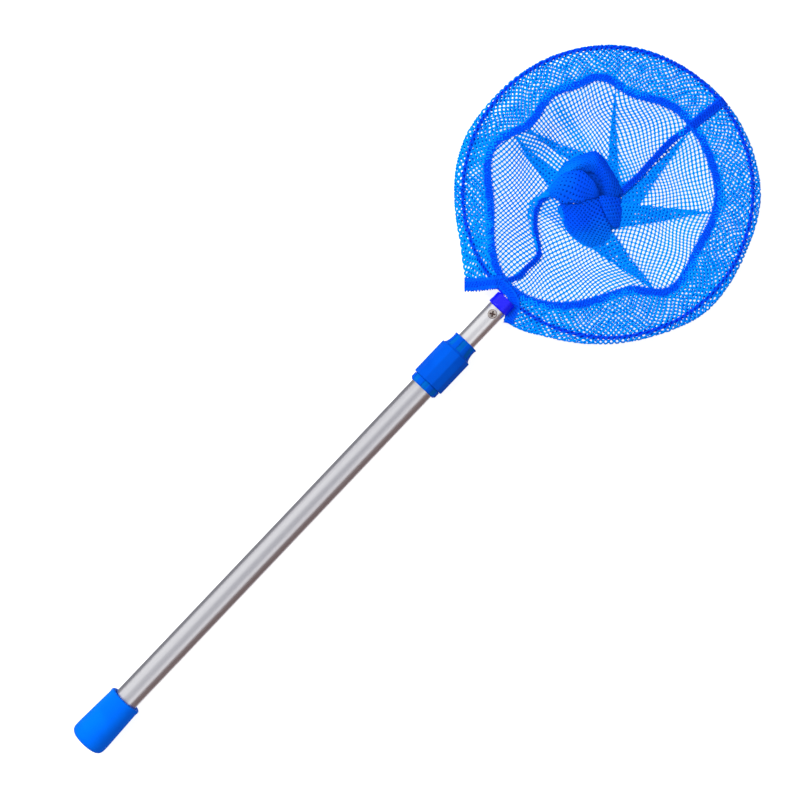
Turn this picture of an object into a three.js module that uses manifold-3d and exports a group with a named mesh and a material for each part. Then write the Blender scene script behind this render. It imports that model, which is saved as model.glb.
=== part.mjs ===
// Extendable dip net: a two-section aluminium pole with a twist lock, and a hoop net with a sewn rim.
// Millimetres. +X runs along the pole from the butt to the net and +Z is the open side of the net.
// The origin is the centre of the flat end of the butt cap. The net lies flat, its bag gathered
// into a twisted bun, with the cap and the bag touching one level surface.

import * as THREE from 'three';
import { mergeVertices } from 'three/addons/utils/BufferGeometryUtils.js';
import Module from 'manifold-3d';

const wasm = await Module();
wasm.setup();

// Clearances, and how far a cutter or a joined piece reaches past the face that it meets
const seatGap = 0.3;
const slidingGap = 0.3;
const clothGap = 0.65;
const reachPast = 1;
const landRoot = 0.5;

// Pole tubes
const outerTubeDiameter = 19;
const innerTubeDiameter = 15;
const tubeWall = 0.8;
const outerTubeLength = 382;
const innerTubeLength = 374;
const innerTubeShown = 34;
const tubeSides = 40;

// Butt cap
const capLength = 46;
const capDiameter = 29;
const capMouthDiameter = 26;
const capLipDiameter = 26.6;
const capLipLength = 2.4;
const capEndDiameter = 21;
const capShoulder = 8;
const capFloor = 3.2;
const capBevel = 0.6;
const capMouthBevel = 0.8;
const capSides = 36;

// Twist lock: threaded body, collet and nut
const lockRingLength = 5.9;
const lockRingDiameter = 24.4;
const lockRingBevel = 1.5;
const lockBodyLength = 24.4;
const spigotDiameter = 22;
const spigotBevel = 0.6;
const landSetback = 0.2;
const tubeStop = 18.6;
const nutLength = 31;
const nutDiameter = 27;
const nutFlats = 12;
const nutBevel = 0.8;
const noseLength = 10.9;
const noseBaseDiameter = 22.4;
const noseWaistDiameter = 20.4;
const noseTipDiameter = 20.9;
const noseFilletHeight = 0.8;
const noseFilletWidth = 0.6;
const noseBore = 16;
const fluteCount = 8;
const fluteDepth = 0.75;
const colletLength = 17.5;
const colletLandLength = 3.4;
const colletBaseDiameter = 21;
const colletTipDiameter = 18;
const colletSlots = 6;
const colletSlotWidth = 1.2;
const colletSlotDepth = 12.5;
const colletHeadroom = 0.4;

// Tail bushing, on which the inner tube slides in the outer one
const bushingLength = 18;
const bushingLip = 2.4;
const bushingBevel = 0.4;

// Ferrule plug, its screw, and the hoop wire
const ferruleLength = 8;
const ferruleDiameter = 17.6;
const ferruleFillet = 0.9;
const plugLength = 24;
const plugBevel = 0.8;
const wireDiameter = 2.5;
const wireSpacing = 8;
const wireGrip = 26;
const wireBendRadius = 3;
const wireChannelGap = 0.3;
const hoopDiameter = 217;
const hoopStandOff = 3.4;
const hoopSteps = 84;
const bendSteps = 4;
const wireSides = 8;
const holeSides = 16;
const screwHeadDiameter = 7;
const screwHeadHeight = 1.8;
const screwShankDiameter = 2.6;
const screwLength = 13;
const screwSetback = 6;
const screwRecess = 1;
const screwSlotWidth = 1;
const screwSlotLength = 4;
const screwSlotAngle = 36;
const screwSides = 20;

// Rim of the net: a sleeve of doubled mesh round the wire, bound to the bag by a tape
const clothThickness = 0.6;
const hemThickness = 0.9;
const tapeWidth = 5.5;
const tapeThickness = 1.8;
const tapeBevel = 0.5;
const sleeveDepth = 24.5;
const sleeveOverhang = 3.2;
const sleeveWrap = 6;
const sleeveSlack = 0.15;
const foldRound = 0.95;
const sleeveHemWidth = 8;
const leftFlap = 18;
const rightFlap = 11.5;
const rimSteps = 60;
const fullTurnDegrees = 360;

// Where the seams, the flaps and the pleats stand round the hoop, in degrees from +X
const farSeamAngle = -8;
const nearSeamAngle = 176;
const leftHemInnerAngle = 173.4;
const leftHemOuterAngle = 168.2;
const rightHemAngle = 184.6;
const leftFlapStartAngle = 105;
const rightFlapStartAngle = 250;
const leftPleatAngles = [39, 97, 143];
const rightPleatAngles = [206, 249, 304];

// The rim tape wanders in and out of its mean radius: degrees round the hoop, and how far
// outwards as a share of the sleeve's depth
const rimWander = [
  [-124, -0.37], [-103, 0.12], [-76, -0.18], [-47, -0.04], [-28, -0.12], [0, -0.1], [28, -0.31],
  [49, 0.12], [60, 0], [71, 0.04], [91, -0.24], [114, 0.39], [138, 0.18], [176, 0.755],
];

// Bag: a shallow dish of cloth, pleated towards a twisted bun
const bagThickness = 1.1;
const bagFlatRadius = 52;
const bunRadius = 40;
const bunHeight = 8.4;
const bunEye = 2;
const bunEyeDip = 1.6;
const bunTurnAngle = 78;
const bunTurnPower = 2.2;
const pleatRimWidth = 2.4;
const pleatBunWidth = 12;
const pleatRimHeight = 0.5;
const pleatBunHeight = 1.9;
const pleatRunOut = 4;
const rimSag = 0.2;
const seamTapeWidth = 5;
const seamTapeRise = 0.4;
const seamTapeBevel = 0.3;
const seamTapeEnd = 11;
const bagRows = 11;

// Outlines of small forms, as shares of the sizes that they lie between
const capEndCurve = [[0.55, 0.09], [0.84, 0.32], [0.97, 0.68]];
const capWaistShare = 0.45;
const noseCurve = [[0.7, 0.3], [1, 0.62]];
const ferruleCurveShare = 0.3;
const screwHeadCurve = [[1, 0.35], [0.88, 0.7], [0.6, 0.93]];
const wireGraspShare = 0.9;
const pleatSection = [[-1, 0], [-0.6, 1], [0.6, 1], [1, 0]];
const pleatWidthShare = 0.2;
const seamTapeFlatShare = 0.7;
const stationMarginShare = 0.15;

// Stations along the pole, worked out from the sizes above
const outerTubeStart = capFloor + seatGap;
const outerTubeEnd = outerTubeStart + outerTubeLength;
const lockStart = outerTubeEnd + seatGap - tubeStop;
const nutStart = lockStart + lockRingLength + seatGap;
const colletStart = lockStart + lockBodyLength + seatGap;
const noseEnd = nutStart + nutLength + noseLength;
const ferruleStart = noseEnd + innerTubeShown;
const innerTubeEnd = ferruleStart - seatGap;
const innerTubeStart = innerTubeEnd - innerTubeLength;
const ferruleEnd = ferruleStart + ferruleLength;
const hoopRadius = hoopDiameter / 2;
const rimRadius = hoopRadius - sleeveDepth;
const hoopCentre = ferruleEnd + hoopStandOff + hoopRadius;
const restLevel = -capDiameter / 2;
const rimPitch = fullTurnDegrees / rimSteps;
const farSeamAgain = farSeamAngle + fullTurnDegrees;

// Colours and finishes
function finish(colour, roughness, metalness) {
  return new THREE.MeshStandardMaterial({ color: colour, roughness, metalness });
}
const blueGrip = finish(0x0072f0, 0.5, 0);
const blueLock = finish(0x005fe6, 0.35, 0);
const violetPlastic = finish(0x1414f0, 0.3, 0);
const aluminium = finish(0xd6d6da, 0.32, 1);
const screwSteel = finish(0xb8b4b0, 0.35, 1);
const navyWire = finish(0x0a0a8c, 0.45, 0.1);
const paleNylon = finish(0xe8e6dc, 0.6, 0);
const netCloth = finish(0x0078ff, 0.8, 0);
const tapeCloth = finish(0x0044e0, 0.8, 0);

const degrees = THREE.MathUtils.degToRad;
const mix = THREE.MathUtils.lerp;
const smooth = (value, low, high) => THREE.MathUtils.smoothstep(value, low, high);
const weldTolerance = 1e-4;

// Turned and cut solids

// A geometry with shared vertices and no empty triangles.
function welded(geometry) {
  const bare = geometry.clone();
  bare.deleteAttribute('normal');
  bare.deleteAttribute('uv');
  const merged = mergeVertices(bare, weldTolerance);
  const corners = merged.index.array;
  const kept = [];
  for (let i = 0; i < corners.length; i += 3) {
    const [a, b, c] = [corners[i], corners[i + 1], corners[i + 2]];
    if (a !== b && b !== c && c !== a) kept.push(a, b, c);
  }
  merged.setIndex(kept);
  return merged;
}

function toSolid(geometry) {
  const shape = welded(geometry);
  return new wasm.Manifold(new wasm.Mesh({
    numProp: 3,
    vertProperties: new Float32Array(shape.attributes.position.array),
    triVerts: new Uint32Array(shape.index.array),
  }));
}

function toGeometry(solid) {
  const mesh = solid.getMesh();
  const geometry = new THREE.BufferGeometry();
  geometry.setAttribute('position', new THREE.BufferAttribute(new Float32Array(mesh.vertProperties), 3));
  geometry.setIndex(Array.from(mesh.triVerts));
  return geometry;
}

function cut(base, cutters) {
  return cutters.reduce((rest, cutter) => rest.subtract(toSolid(cutter)), base);
}

// A solid of revolution round Y, from [radius, height] pairs listed from the low end to the high
// end along the outside, and back along the bore where there is one.
function turned(profile, sides = tubeSides, startAngle = 0) {
  const points = profile.map(([radius, height]) => new THREE.Vector2(radius, height));
  if (profile[0][0] > 0) points.push(points[0].clone());
  return new THREE.LatheGeometry(points, sides, startAngle, 2 * Math.PI);
}

function ring(outer, bore, low, high) {
  return turned([[bore / 2, low], [outer / 2, low], [outer / 2, high], [bore / 2, high]]);
}

// A wedge of a disc that stands along Y, centred on an angle from +Z towards +X.
function wedge(centreAngle, width, radius, low, high) {
  const shape = new THREE.Shape();
  const middle = degrees(centreAngle - 90);
  shape.moveTo(0, 0);
  for (const side of [-0.5, 0, 0.5]) {
    const angle = middle + side * degrees(width);
    shape.lineTo(radius * Math.cos(angle), radius * Math.sin(angle));
  }
  shape.closePath();
  const prism = new THREE.ExtrudeGeometry(shape, { depth: high - low, bevelEnabled: false });
  prism.rotateX(-Math.PI / 2);
  prism.translate(0, low, 0);
  return prism;
}

// Raised lands all round a turned form, with flutes of the same width between them.
function lands(form, low, high) {
  const pitch = fullTurnDegrees / fluteCount;
  const whole = toSolid(form);
  const kept = [];
  for (let i = 0; i < fluteCount; i++) {
    const slice = toSolid(wedge((i + 0.5) * pitch, pitch / 2, nutDiameter, low, high));
    kept.push(whole.intersect(slice));
  }
  return kept;
}

// Pole pieces, turned round Y and stood along the pole by their group

function endCap() {
  const bore = outerTubeDiameter / 2 + seatGap;
  const waist = mix(capDiameter, capMouthDiameter, capWaistShare) / 2;
  const roundedEnd = capEndCurve.map(
    ([out, along]) => [mix(capEndDiameter, capDiameter, out) / 2, along * capShoulder],
  );
  return turned([
    [0, 0],
    [capEndDiameter / 2, 0],
    ...roundedEnd,
    [capDiameter / 2, capShoulder],
    [waist, (capShoulder + capLength) / 2],
    [capMouthDiameter / 2, capLength - capLipLength - capBevel],
    [capLipDiameter / 2, capLength - capLipLength],
    [capLipDiameter / 2, capLength - capBevel],
    [capLipDiameter / 2 - capBevel, capLength],
    [bore + capBevel, capLength],
    [bore, capLength - capMouthBevel],
    [bore, capFloor],
    [0, capFloor],
  ], capSides);
}

function lockBody() {
  const tubeBore = outerTubeDiameter / 2 + seatGap;
  const passage = innerTubeDiameter / 2 + slidingGap;
  const ringRadius = lockRingDiameter / 2;
  const bevelRadius = ringRadius - lockRingBevel;
  const lock = turned([
    [tubeBore, 0],
    [bevelRadius - fluteDepth / 2, 0],
    [ringRadius - fluteDepth, lockRingBevel],
    [ringRadius - fluteDepth, lockRingLength],
    [spigotDiameter / 2, lockRingLength],
    [spigotDiameter / 2, lockBodyLength - spigotBevel],
    [spigotDiameter / 2 - spigotBevel, lockBodyLength],
    [passage, lockBodyLength],
    [passage, tubeStop],
    [tubeBore, tubeStop],
  ]);
  const landForm = turned([
    [tubeBore + landRoot, landSetback],
    [bevelRadius, landSetback],
    [ringRadius, lockRingBevel + landSetback],
    [ringRadius, lockRingLength],
    [tubeBore + landRoot, lockRingLength],
  ]);
  const parts = lands(landForm, 0, lockRingLength);
  return toGeometry(parts.reduce((whole, land) => whole.add(land), toSolid(lock)));
}

function collet() {
  const bore = innerTubeDiameter / 2 + slidingGap;
  const cone = turned([
    [bore, 0],
    [colletBaseDiameter / 2, 0],
    [colletBaseDiameter / 2, colletLandLength],
    [colletTipDiameter / 2, colletLength],
    [bore, colletLength],
  ]);
  const slots = [];
  for (let i = 0; i < colletSlots; i++) {
    const slot = new THREE.BoxGeometry(colletSlotWidth, 2 * colletSlotDepth, colletBaseDiameter / 2);
    slot.translate(0, colletLength, colletBaseDiameter / 4 + bore / 2);
    slot.rotateY(2 * Math.PI * i / colletSlots);
    slots.push(slot);
  }
  return toGeometry(cut(toSolid(cone), slots));
}

function lockNut() {
  const noseTop = nutLength + noseLength;
  const colletLow = colletStart - nutStart;
  const coneLow = colletLow + colletLandLength;
  const coneHigh = colletLow + colletLength;
  const body = turned([
    [0, 0],
    [nutDiameter / 2 - nutBevel, 0],
    [nutDiameter / 2, nutBevel],
    [nutDiameter / 2, nutLength - nutBevel],
    [nutDiameter / 2 - nutBevel, nutLength],
    [0, nutLength],
  ], nutFlats, Math.PI / nutFlats);
  const noseFoot = noseBaseDiameter / 2 + noseFilletWidth;
  const noseProfile = (inset) => [
    [0, nutLength - reachPast],
    [noseFoot - inset, nutLength - reachPast],
    [noseFoot - inset, nutLength],
    [noseBaseDiameter / 2 - inset, nutLength + noseFilletHeight],
    ...noseCurve.map(([inwards, along]) => [
      mix(noseBaseDiameter, noseWaistDiameter, inwards) / 2 - inset,
      nutLength + along * noseLength,
    ]),
    [noseTipDiameter / 2 - inset, noseTop - inset],
    [0, noseTop - inset],
  ];
  const landParts = lands(turned(noseProfile(0)), nutLength - reachPast, noseTop);
  const outside = landParts.reduce(
    (whole, land) => whole.add(land),
    toSolid(body).add(toSolid(turned(noseProfile(fluteDepth)))),
  );
  const inside = turned([
    [0, -reachPast],
    [spigotDiameter / 2 + slidingGap, -reachPast],
    [spigotDiameter / 2 + slidingGap, colletLow - colletHeadroom],
    [colletBaseDiameter / 2 + slidingGap, colletLow - colletHeadroom],
    [colletBaseDiameter / 2 + slidingGap, coneLow],
    [colletTipDiameter / 2 + slidingGap, coneHigh + slidingGap],
    [noseBore / 2, coneHigh + slidingGap],
    [noseBore / 2, noseTop + reachPast],
    [0, noseTop + reachPast],
  ]);
  return toGeometry(cut(outside, [inside]));
}

function tailBushing() {
  const outside = outerTubeDiameter - 2 * tubeWall - 2 * slidingGap;
  const bore = innerTubeDiameter + 2 * slidingGap;
  const lipBore = innerTubeDiameter - 2 * tubeWall;
  return turned([
    [lipBore / 2, -bushingLip],
    [outside / 2 - bushingBevel, -bushingLip],
    [outside / 2, bushingBevel - bushingLip],
    [outside / 2, bushingLength],
    [bore / 2, bushingLength],
    [bore / 2, -seatGap],
    [lipBore / 2, -seatGap],
  ]);
}

// A hole bored down through the pole's axis from above, at a station along Y.
function crossHole(diameter, station, low, high) {
  const hole = new THREE.CylinderGeometry(diameter / 2, diameter / 2, high - low, holeSides);
  hole.rotateX(Math.PI / 2);
  hole.translate(0, station, (low + high) / 2);
  return hole;
}

function innerTube() {
  const tube = ring(innerTubeDiameter, innerTubeDiameter - 2 * tubeWall, 0, innerTubeLength);
  const screwStation = innerTubeLength + seatGap - screwSetback;
  const hole = crossHole(screwShankDiameter + 2 * seatGap, screwStation, 0, innerTubeDiameter);
  return toGeometry(cut(toSolid(tube), [hole]));
}

function ferrulePlug() {
  const core = innerTubeDiameter / 2 - tubeWall - seatGap;
  const rim = ferruleDiameter / 2;
  const plug = turned([
    [0, -plugLength],
    [core - plugBevel, -plugLength],
    [core, plugBevel - plugLength],
    [core, 0],
    [rim, 0],
    [rim, ferruleLength - ferruleFillet],
    [rim - ferruleCurveShare * ferruleFillet, ferruleLength - ferruleCurveShare * ferruleFillet],
    [rim - ferruleFillet, ferruleLength],
    [0, ferruleLength],
  ]);
  const channels = [-1, 1].map((side) => {
    const radius = wireDiameter / 2 + wireChannelGap;
    const depth = wireGrip + seatGap + reachPast;
    const channel = new THREE.CylinderGeometry(radius, radius, depth, holeSides);
    channel.translate(side * wireSpacing / 2, ferruleLength + reachPast - depth / 2, 0);
    return channel;
  });
  const pilotLow = innerTubeDiameter / 2 - screwLength - reachPast;
  const pilot = crossHole(screwShankDiameter + 2 * seatGap, -screwSetback, pilotLow, innerTubeDiameter);
  return toGeometry(cut(toSolid(plug), [...channels, pilot]));
}

// The pan-head screw stands on Z, with the underside of its head at zero.
function ferruleScrew() {
  const head = screwHeadDiameter / 2;
  const shank = screwShankDiameter / 2;
  const profile = [
    [0, -screwLength],
    [shank, shank - screwLength],
    [shank, 0],
    [head, 0],
    ...screwHeadCurve.map(([out, up]) => [out * head, up * screwHeadHeight]),
    [0, screwHeadHeight],
  ];
  const body = turned(profile, screwSides);
  body.rotateX(Math.PI / 2);
  const slots = [0, 1].map((turn) => {
    const slot = new THREE.BoxGeometry(screwSlotLength, screwSlotWidth, 2 * screwRecess);
    slot.rotateZ(turn * Math.PI / 2 + degrees(screwSlotAngle));
    slot.translate(0, 0, screwHeadHeight);
    return slot;
  });
  return toGeometry(cut(toSolid(body), slots));
}

// Two legs in the plug, two tight bends, and the hoop between them, in the plane z = 0
// with the hoop's centre at the origin.
class HoopLine extends THREE.Curve {
  constructor() {
    super();
    const legOffset = wireSpacing / 2 + wireBendRadius;
    const reach = hoopRadius + wireBendRadius;
    this.bendX = -Math.sqrt(reach * reach - legOffset * legOffset);
    this.legStart = ferruleEnd - wireGrip - hoopCentre;
    this.openAngle = Math.asin(legOffset / reach);
    this.leg = this.bendX - this.legStart;
    this.bend = wireBendRadius * (Math.PI / 2 - this.openAngle);
    this.arc = hoopRadius * 2 * (Math.PI - this.openAngle);
    this.total = 2 * (this.leg + this.bend) + this.arc;
  }

  getPoint(t, target = new THREE.Vector3()) {
    const along = t * this.total;
    const side = along < this.total / 2 ? 1 : -1;
    const run = side > 0 ? along : this.total - along;
    const legY = side * wireSpacing / 2;
    if (run < this.leg) return target.set(this.legStart + run, legY, 0);
    if (run < this.leg + this.bend) {
      const turn = (run - this.leg) / wireBendRadius;
      return target.set(
        this.bendX + wireBendRadius * Math.sin(turn),
        legY + side * wireBendRadius * (1 - Math.cos(turn)),
        0,
      );
    }
    const angle = Math.PI - this.openAngle - (run - this.leg - this.bend) / hoopRadius;
    return target.set(hoopRadius * Math.cos(angle), side * hoopRadius * Math.sin(angle), 0);
  }
}

// Stations close together in the bends and wide apart on the hoop.
function wireRings() {
  const line = new HoopLine();
  const stations = [0];
  const bendStation = (i) => (line.leg + line.bend * i / bendSteps) / line.total;
  for (let i = 0; i <= bendSteps; i++) stations.push(bendStation(i));
  const hoopFrom = (line.leg + line.bend) / line.total;
  for (let i = 1; i < hoopSteps; i++) stations.push(mix(hoopFrom, 1 - hoopFrom, i / hoopSteps));
  for (let i = bendSteps; i >= 0; i--) stations.push(1 - bendStation(i));
  stations.push(1);
  return { line, stations };
}

function hoopWire() {
  const { line, stations } = wireRings();
  const step = 1e-4;
  const rings = stations.map((t) => {
    const centre = line.getPoint(t);
    const ahead = line.getPoint(Math.min(1, t + step));
    const behind = line.getPoint(Math.max(0, t - step));
    const tangent = ahead.sub(behind).normalize();
    const across = new THREE.Vector3(tangent.y, -tangent.x, 0);
    const points = [];
    for (let i = 0; i < wireSides; i++) {
      const angle = 2 * Math.PI * (i + 0.5) / wireSides;
      const point = centre.clone().addScaledVector(across, wireDiameter / 2 * Math.cos(angle));
      point.z += wireDiameter / 2 * Math.sin(angle);
      points.push(point);
    }
    return points;
  });
  return lofted(rings, fanCap);
}

// Lofts

// Joins rings of points, each with as many points as the first, and closes the two ends with
// triangles from closeEnd, or joins the last ring to the first where there is no closeEnd.
function lofted(rings, closeEnd) {
  const count = rings[0].length;
  const spans = closeEnd ? rings.length - 1 : rings.length;
  const triangles = [];
  for (let i = 0; i < spans; i++) {
    const here = i * count;
    const next = ((i + 1) % rings.length) * count;
    for (let j = 0; j < count; j++) {
      const k = (j + 1) % count;
      triangles.push(here + j, next + j, next + k, here + j, next + k, here + k);
    }
  }
  if (closeEnd) {
    const last = (rings.length - 1) * count;
    for (const [a, b, c] of closeEnd(count)) {
      triangles.push(a, b, c, last + c, last + b, last + a);
    }
  }
  return faced(rings.flat(), triangles);
}

// A closed surface whose faces point out whichever way its rings ran.
function faced(points, triangles) {
  let volume = 0;
  for (let i = 0; i < triangles.length; i += 3) {
    const [a, b, c] = [points[triangles[i]], points[triangles[i + 1]], points[triangles[i + 2]]];
    volume += a.dot(new THREE.Vector3().crossVectors(b, c));
  }
  if (volume < 0) triangles.reverse();
  const geometry = new THREE.BufferGeometry().setFromPoints(points);
  geometry.setIndex(triangles);
  return geometry;
}

function fanCap(count) {
  const faces = [];
  for (let i = 1; i < count - 1; i++) faces.push([0, i, i + 1]);
  return faces;
}

// The rim of the net, round the hoop's centre

function atHoop(angle, radius, height) {
  return new THREE.Vector3(radius * Math.cos(angle), radius * Math.sin(angle), height);
}

// Radius of the rim tape at an angle in degrees, eased from one crest or trough to the next.
function rimCurve(angle) {
  const first = rimWander[0][0];
  const turn = THREE.MathUtils.euclideanModulo(angle - first, fullTurnDegrees) + first;
  const knots = [...rimWander, [first + fullTurnDegrees, rimWander[0][1]]];
  const next = knots.findIndex(([at]) => at > turn);
  const [[fromAt, from], [toAt, to]] = [knots[next - 1], knots[next]];
  return rimRadius + sleeveDepth * mix(from, to, smooth(turn, fromAt, toAt));
}

// The same line as the straight stretches that the tape, the sleeve and the bag share.
function rimLine(angle) {
  const low = Math.floor(angle / rimPitch) * rimPitch;
  const [near, far] = [rimCurve(low), rimCurve(low + rimPitch)];
  const past = degrees(angle - low);
  const whole = degrees(rimPitch);
  return near * far * Math.sin(whole) / (near * Math.sin(past) + far * Math.sin(whole - past));
}

// How far the sleeve's fold stands outside the wire, growing into the loose flaps by the ferrule.
function sleeveEdge(angle) {
  const turn = THREE.MathUtils.euclideanModulo(angle - farSeamAngle, fullTurnDegrees) + farSeamAngle;
  const left = Math.max(0, (turn - leftFlapStartAngle) / (leftHemOuterAngle - leftFlapStartAngle));
  const right = Math.max(0, (rightFlapStartAngle - turn) / (rightFlapStartAngle - rightHemAngle));
  const flap = turn < nearSeamAngle + 1 ? leftFlap * left ** 3 : rightFlap * right ** 3;
  return hoopRadius + sleeveOverhang + flap;
}

// Sections across the sleeve: its two ends, each an angle for every radius, and the shared
// stations between them.
function sleeveSections(startAt, endAt) {
  const reach = [rimRadius, hoopRadius + leftFlap];
  const low = Math.max(...reach.map(startAt));
  const high = Math.min(...reach.map(endAt));
  const pitch = degrees(rimPitch);
  const sections = [startAt];
  const first = Math.ceil(low / pitch + stationMarginShare);
  for (let i = first; i * pitch < high - stationMarginShare * pitch; i++) {
    sections.push(() => i * pitch);
  }
  return [...sections, endAt];
}

// One stretch of flattened cloth tube round the wire: an outer and an inner loop of points in
// each section, matched one to one. The two layers lie close together at the foot and part
// towards the wire and the fold beyond it.
function flattenedTube(startAt, endAt, cloth) {
  const wire = wireDiameter / 2;
  const grasp = wireGraspShare * wire;
  const crown = wire + slidingGap + cloth;
  const flat = cloth + sleeveSlack;
  const [inFoot, inMiddle, inFold] = [0.8, 2, 2.7].map((times) => times * sleeveSlack);
  const rings = sleeveSections(startAt, endAt).map((angleAt) => {
    const inner = rimLine(THREE.MathUtils.radToDeg(angleAt(rimRadius))) + tapeWidth / 2 + clothGap;
    const outer = sleeveEdge(THREE.MathUtils.radToDeg(angleAt(hoopRadius + sleeveOverhang)));
    const foot = Math.max(inner + cloth, hoopRadius - sleeveWrap);
    const half = [
      [inner, flat, foot, inFoot],
      [mix(inner, hoopRadius - sleeveWrap / 2, 0.6), flat, mix(foot, hoopRadius - wire, 0.3), inMiddle],
      [hoopRadius - grasp, crown, hoopRadius - grasp, crown - cloth],
      [hoopRadius + grasp, crown, hoopRadius + grasp, crown - cloth],
      [outer - foldRound, flat + sleeveSlack, outer - foldRound - cloth / 2, inFold],
    ];
    const loops = [[], []];
    for (const [loop, column] of [[0, 0], [1, 2]]) {
      for (const row of half) loops[loop].push([row[column], row[column + 1]]);
      loops[loop].push([outer - (loop ? cloth : 0), 0]);
      for (const row of [...half].reverse()) loops[loop].push([row[column], -row[column + 1]]);
    }
    return [...loops[0], ...loops[1]].map(([radius, height]) => atHoop(angleAt(radius), radius, height));
  });
  return doubleLoop(rings);
}

// Joins sections that each hold an outer loop and a matched inner loop.
function doubleLoop(rings) {
  const count = rings[0].length / 2;
  const triangles = [];
  const quad = (a, b, c, d) => triangles.push(a, b, c, a, c, d);
  for (let i = 0; i < rings.length - 1; i++) {
    const here = 2 * count * i;
    const next = here + 2 * count;
    for (let j = 0; j < count; j++) {
      const k = (j + 1) % count;
      quad(here + j, next + j, next + k, here + k);
      quad(here + count + k, next + count + k, next + count + j, here + count + j);
    }
  }
  const last = 2 * count * (rings.length - 1);
  for (let j = 0; j < count; j++) {
    const k = (j + 1) % count;
    quad(j, k, count + k, count + j);
    quad(last + count + j, last + count + k, last + k, last + j);
  }
  return faced(rings.flat(), triangles);
}

// Angles of the sleeve's ends, set off by a distance along the cloth.
const beside = (angle, distance) => (radius) => degrees(angle) + distance / radius;
function leftEnd(distance) {
  return (radius) => {
    const foot = rimLine(leftHemInnerAngle);
    const slant = (radius - foot) / (sleeveEdge(leftHemOuterAngle) - foot);
    return degrees(mix(leftHemInnerAngle, leftHemOuterAngle, slant)) - distance / radius;
  };
}
const rightEnd = (distance) => beside(rightHemAngle, distance);
const halfSeam = seamTapeWidth / 2;
const pastSeam = halfSeam + clothGap;

// The tape that binds the sleeve to the bag, one closed band.
function rimTape() {
  const w = tapeWidth / 2;
  const t = tapeThickness / 2;
  const flat = w - tapeBevel;
  const section = [
    [-w, -t / 2], [-flat, -t], [flat, -t], [w, -t / 2],
    [w, t / 2], [flat, t], [-flat, t], [-w, t / 2],
  ];
  const rings = [];
  for (let i = 0; i < rimSteps; i++) {
    const angle = rimPitch * i;
    const line = rimCurve(angle);
    rings.push(section.map(([out, up]) => atHoop(degrees(angle), line + out, up)));
  }
  return lofted(rings);
}

// The bag

// How far a line on the cloth has turned round the hoop's axis where it reaches a radius.
function swirl(radius) {
  return -degrees(bunTurnAngle) * Math.max(0, 1 - radius / rimRadius) ** bunTurnPower;
}

// The angle between a swirling line and another that keeps a distance beside it.
function setOff(radius, distance) {
  const step = 0.5;
  const slope = (swirl(radius + step) - swirl(radius - step)) / (2 * step);
  return distance * Math.hypot(1, radius * slope) / radius;
}

// Radius of each row of the cloth, from the rim's inner edge in to the eye of the bun.
function rowRadius(angle, row) {
  return mix(rimLine(angle) - tapeWidth / 2 - clothGap, bunEye, row / bagRows);
}

// Height of the cloth's upper face: down from the rim, flat on the ground, and up over the bun.
function bagTop(radius, angle, lift) {
  const rim = rimLine(THREE.MathUtils.radToDeg(angle)) - tapeWidth / 2;
  const dish = mix(restLevel + bagThickness, -rimSag, smooth(radius, bagFlatRadius, rim));
  const bun = bunHeight * (1 - smooth(radius, bunRadius / 2, bunRadius));
  const eye = bunEyeDip * (1 - smooth(radius, bunEye, bunRadius / 3));
  const pleat = mix(pleatRimHeight, pleatBunHeight, 1 - smooth(radius, bunRadius / 2, rimRadius));
  return dish + bun - eye + lift * pleat * smooth(radius, bunEye, bunEye + pleatRunOut);
}

function bagUnderside(radius, angle) {
  return Math.max(restLevel, bagTop(radius, angle, 0) - bagThickness
    - bunHeight * (1 - smooth(radius, bunRadius / 2, bunRadius)));
}

function pleatHalfWidth(radius) {
  const width = mix(pleatBunWidth, pleatRimWidth, smooth(radius, bunRadius / 2, rimRadius));
  return Math.min(width / 2, pleatWidthShare * radius);
}

// Half the width of a seam's tape, which narrows where it dives into the bun.
function seamHalfWidth(radius) {
  return mix(0, halfSeam, smooth(radius, bunEye, bunRadius / 2));
}

function seamOffset(radius) {
  return seamHalfWidth(radius) + mix(clothGap / 3, clothGap, smooth(radius, bunEye, bunRadius / 3));
}

// The lines that run in from the rim across one panel: its two seams, each pleat's foot and
// edge on either side, and between those groups the shared stations of the rim.
function panelLines(from, to, pleats) {
  const line = (at, lift, beside) => {
    const angleAt = (radius) => degrees(at) + setOff(radius, beside(radius));
    const edgeAt = THREE.MathUtils.radToDeg(angleAt(rowRadius(at, 0)));
    return { angleAt, edgeAt, rimAt: lift === null ? at : edgeAt, lift: lift ?? 0 };
  };
  const groups = [
    [line(from, null, seamOffset)],
    ...pleats.map((pleat) => pleatSection.map(
      ([side, lift]) => line(pleat, lift, (radius) => side * pleatHalfWidth(radius)),
    )),
    [line(to, null, (radius) => -seamOffset(radius))],
  ];
  return groups.reduce(
    (lines, group) => [...lines, ...stationsBetween(lines.at(-1), group[0]), ...group],
  );
}

// Lines from the rim's shared stations that lie between two others, and keep their share of the
// way from one to the other all the way in.
function stationsBetween(one, other) {
  const between = [];
  const first = Math.ceil(one.edgeAt / rimPitch + stationMarginShare);
  for (let i = first; i * rimPitch < other.edgeAt - stationMarginShare * rimPitch; i++) {
    const at = i * rimPitch;
    const share = (at - one.edgeAt) / (other.edgeAt - one.edgeAt);
    const angleAt = (radius) => mix(one.angleAt(radius), other.angleAt(radius), share);
    between.push({ angleAt, rimAt: at, lift: 0 });
  }
  return between;
}

function bagPanel(from, to, pleats) {
  const lines = panelLines(from, to, pleats);
  const rings = [];
  for (let row = 0; row <= bagRows; row++) {
    const upper = [];
    const lower = [];
    for (const line of lines) {
      const radius = rowRadius(line.rimAt, row);
      const angle = line.angleAt(radius) + swirl(radius);
      upper.push(atHoop(angle, radius, bagTop(radius, angle, line.lift)));
      lower.push(atHoop(angle, radius, bagUnderside(radius, angle)));
    }
    rings.push([...upper, ...lower.reverse()]);
  }
  return lofted(rings, stripCap);
}

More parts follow.
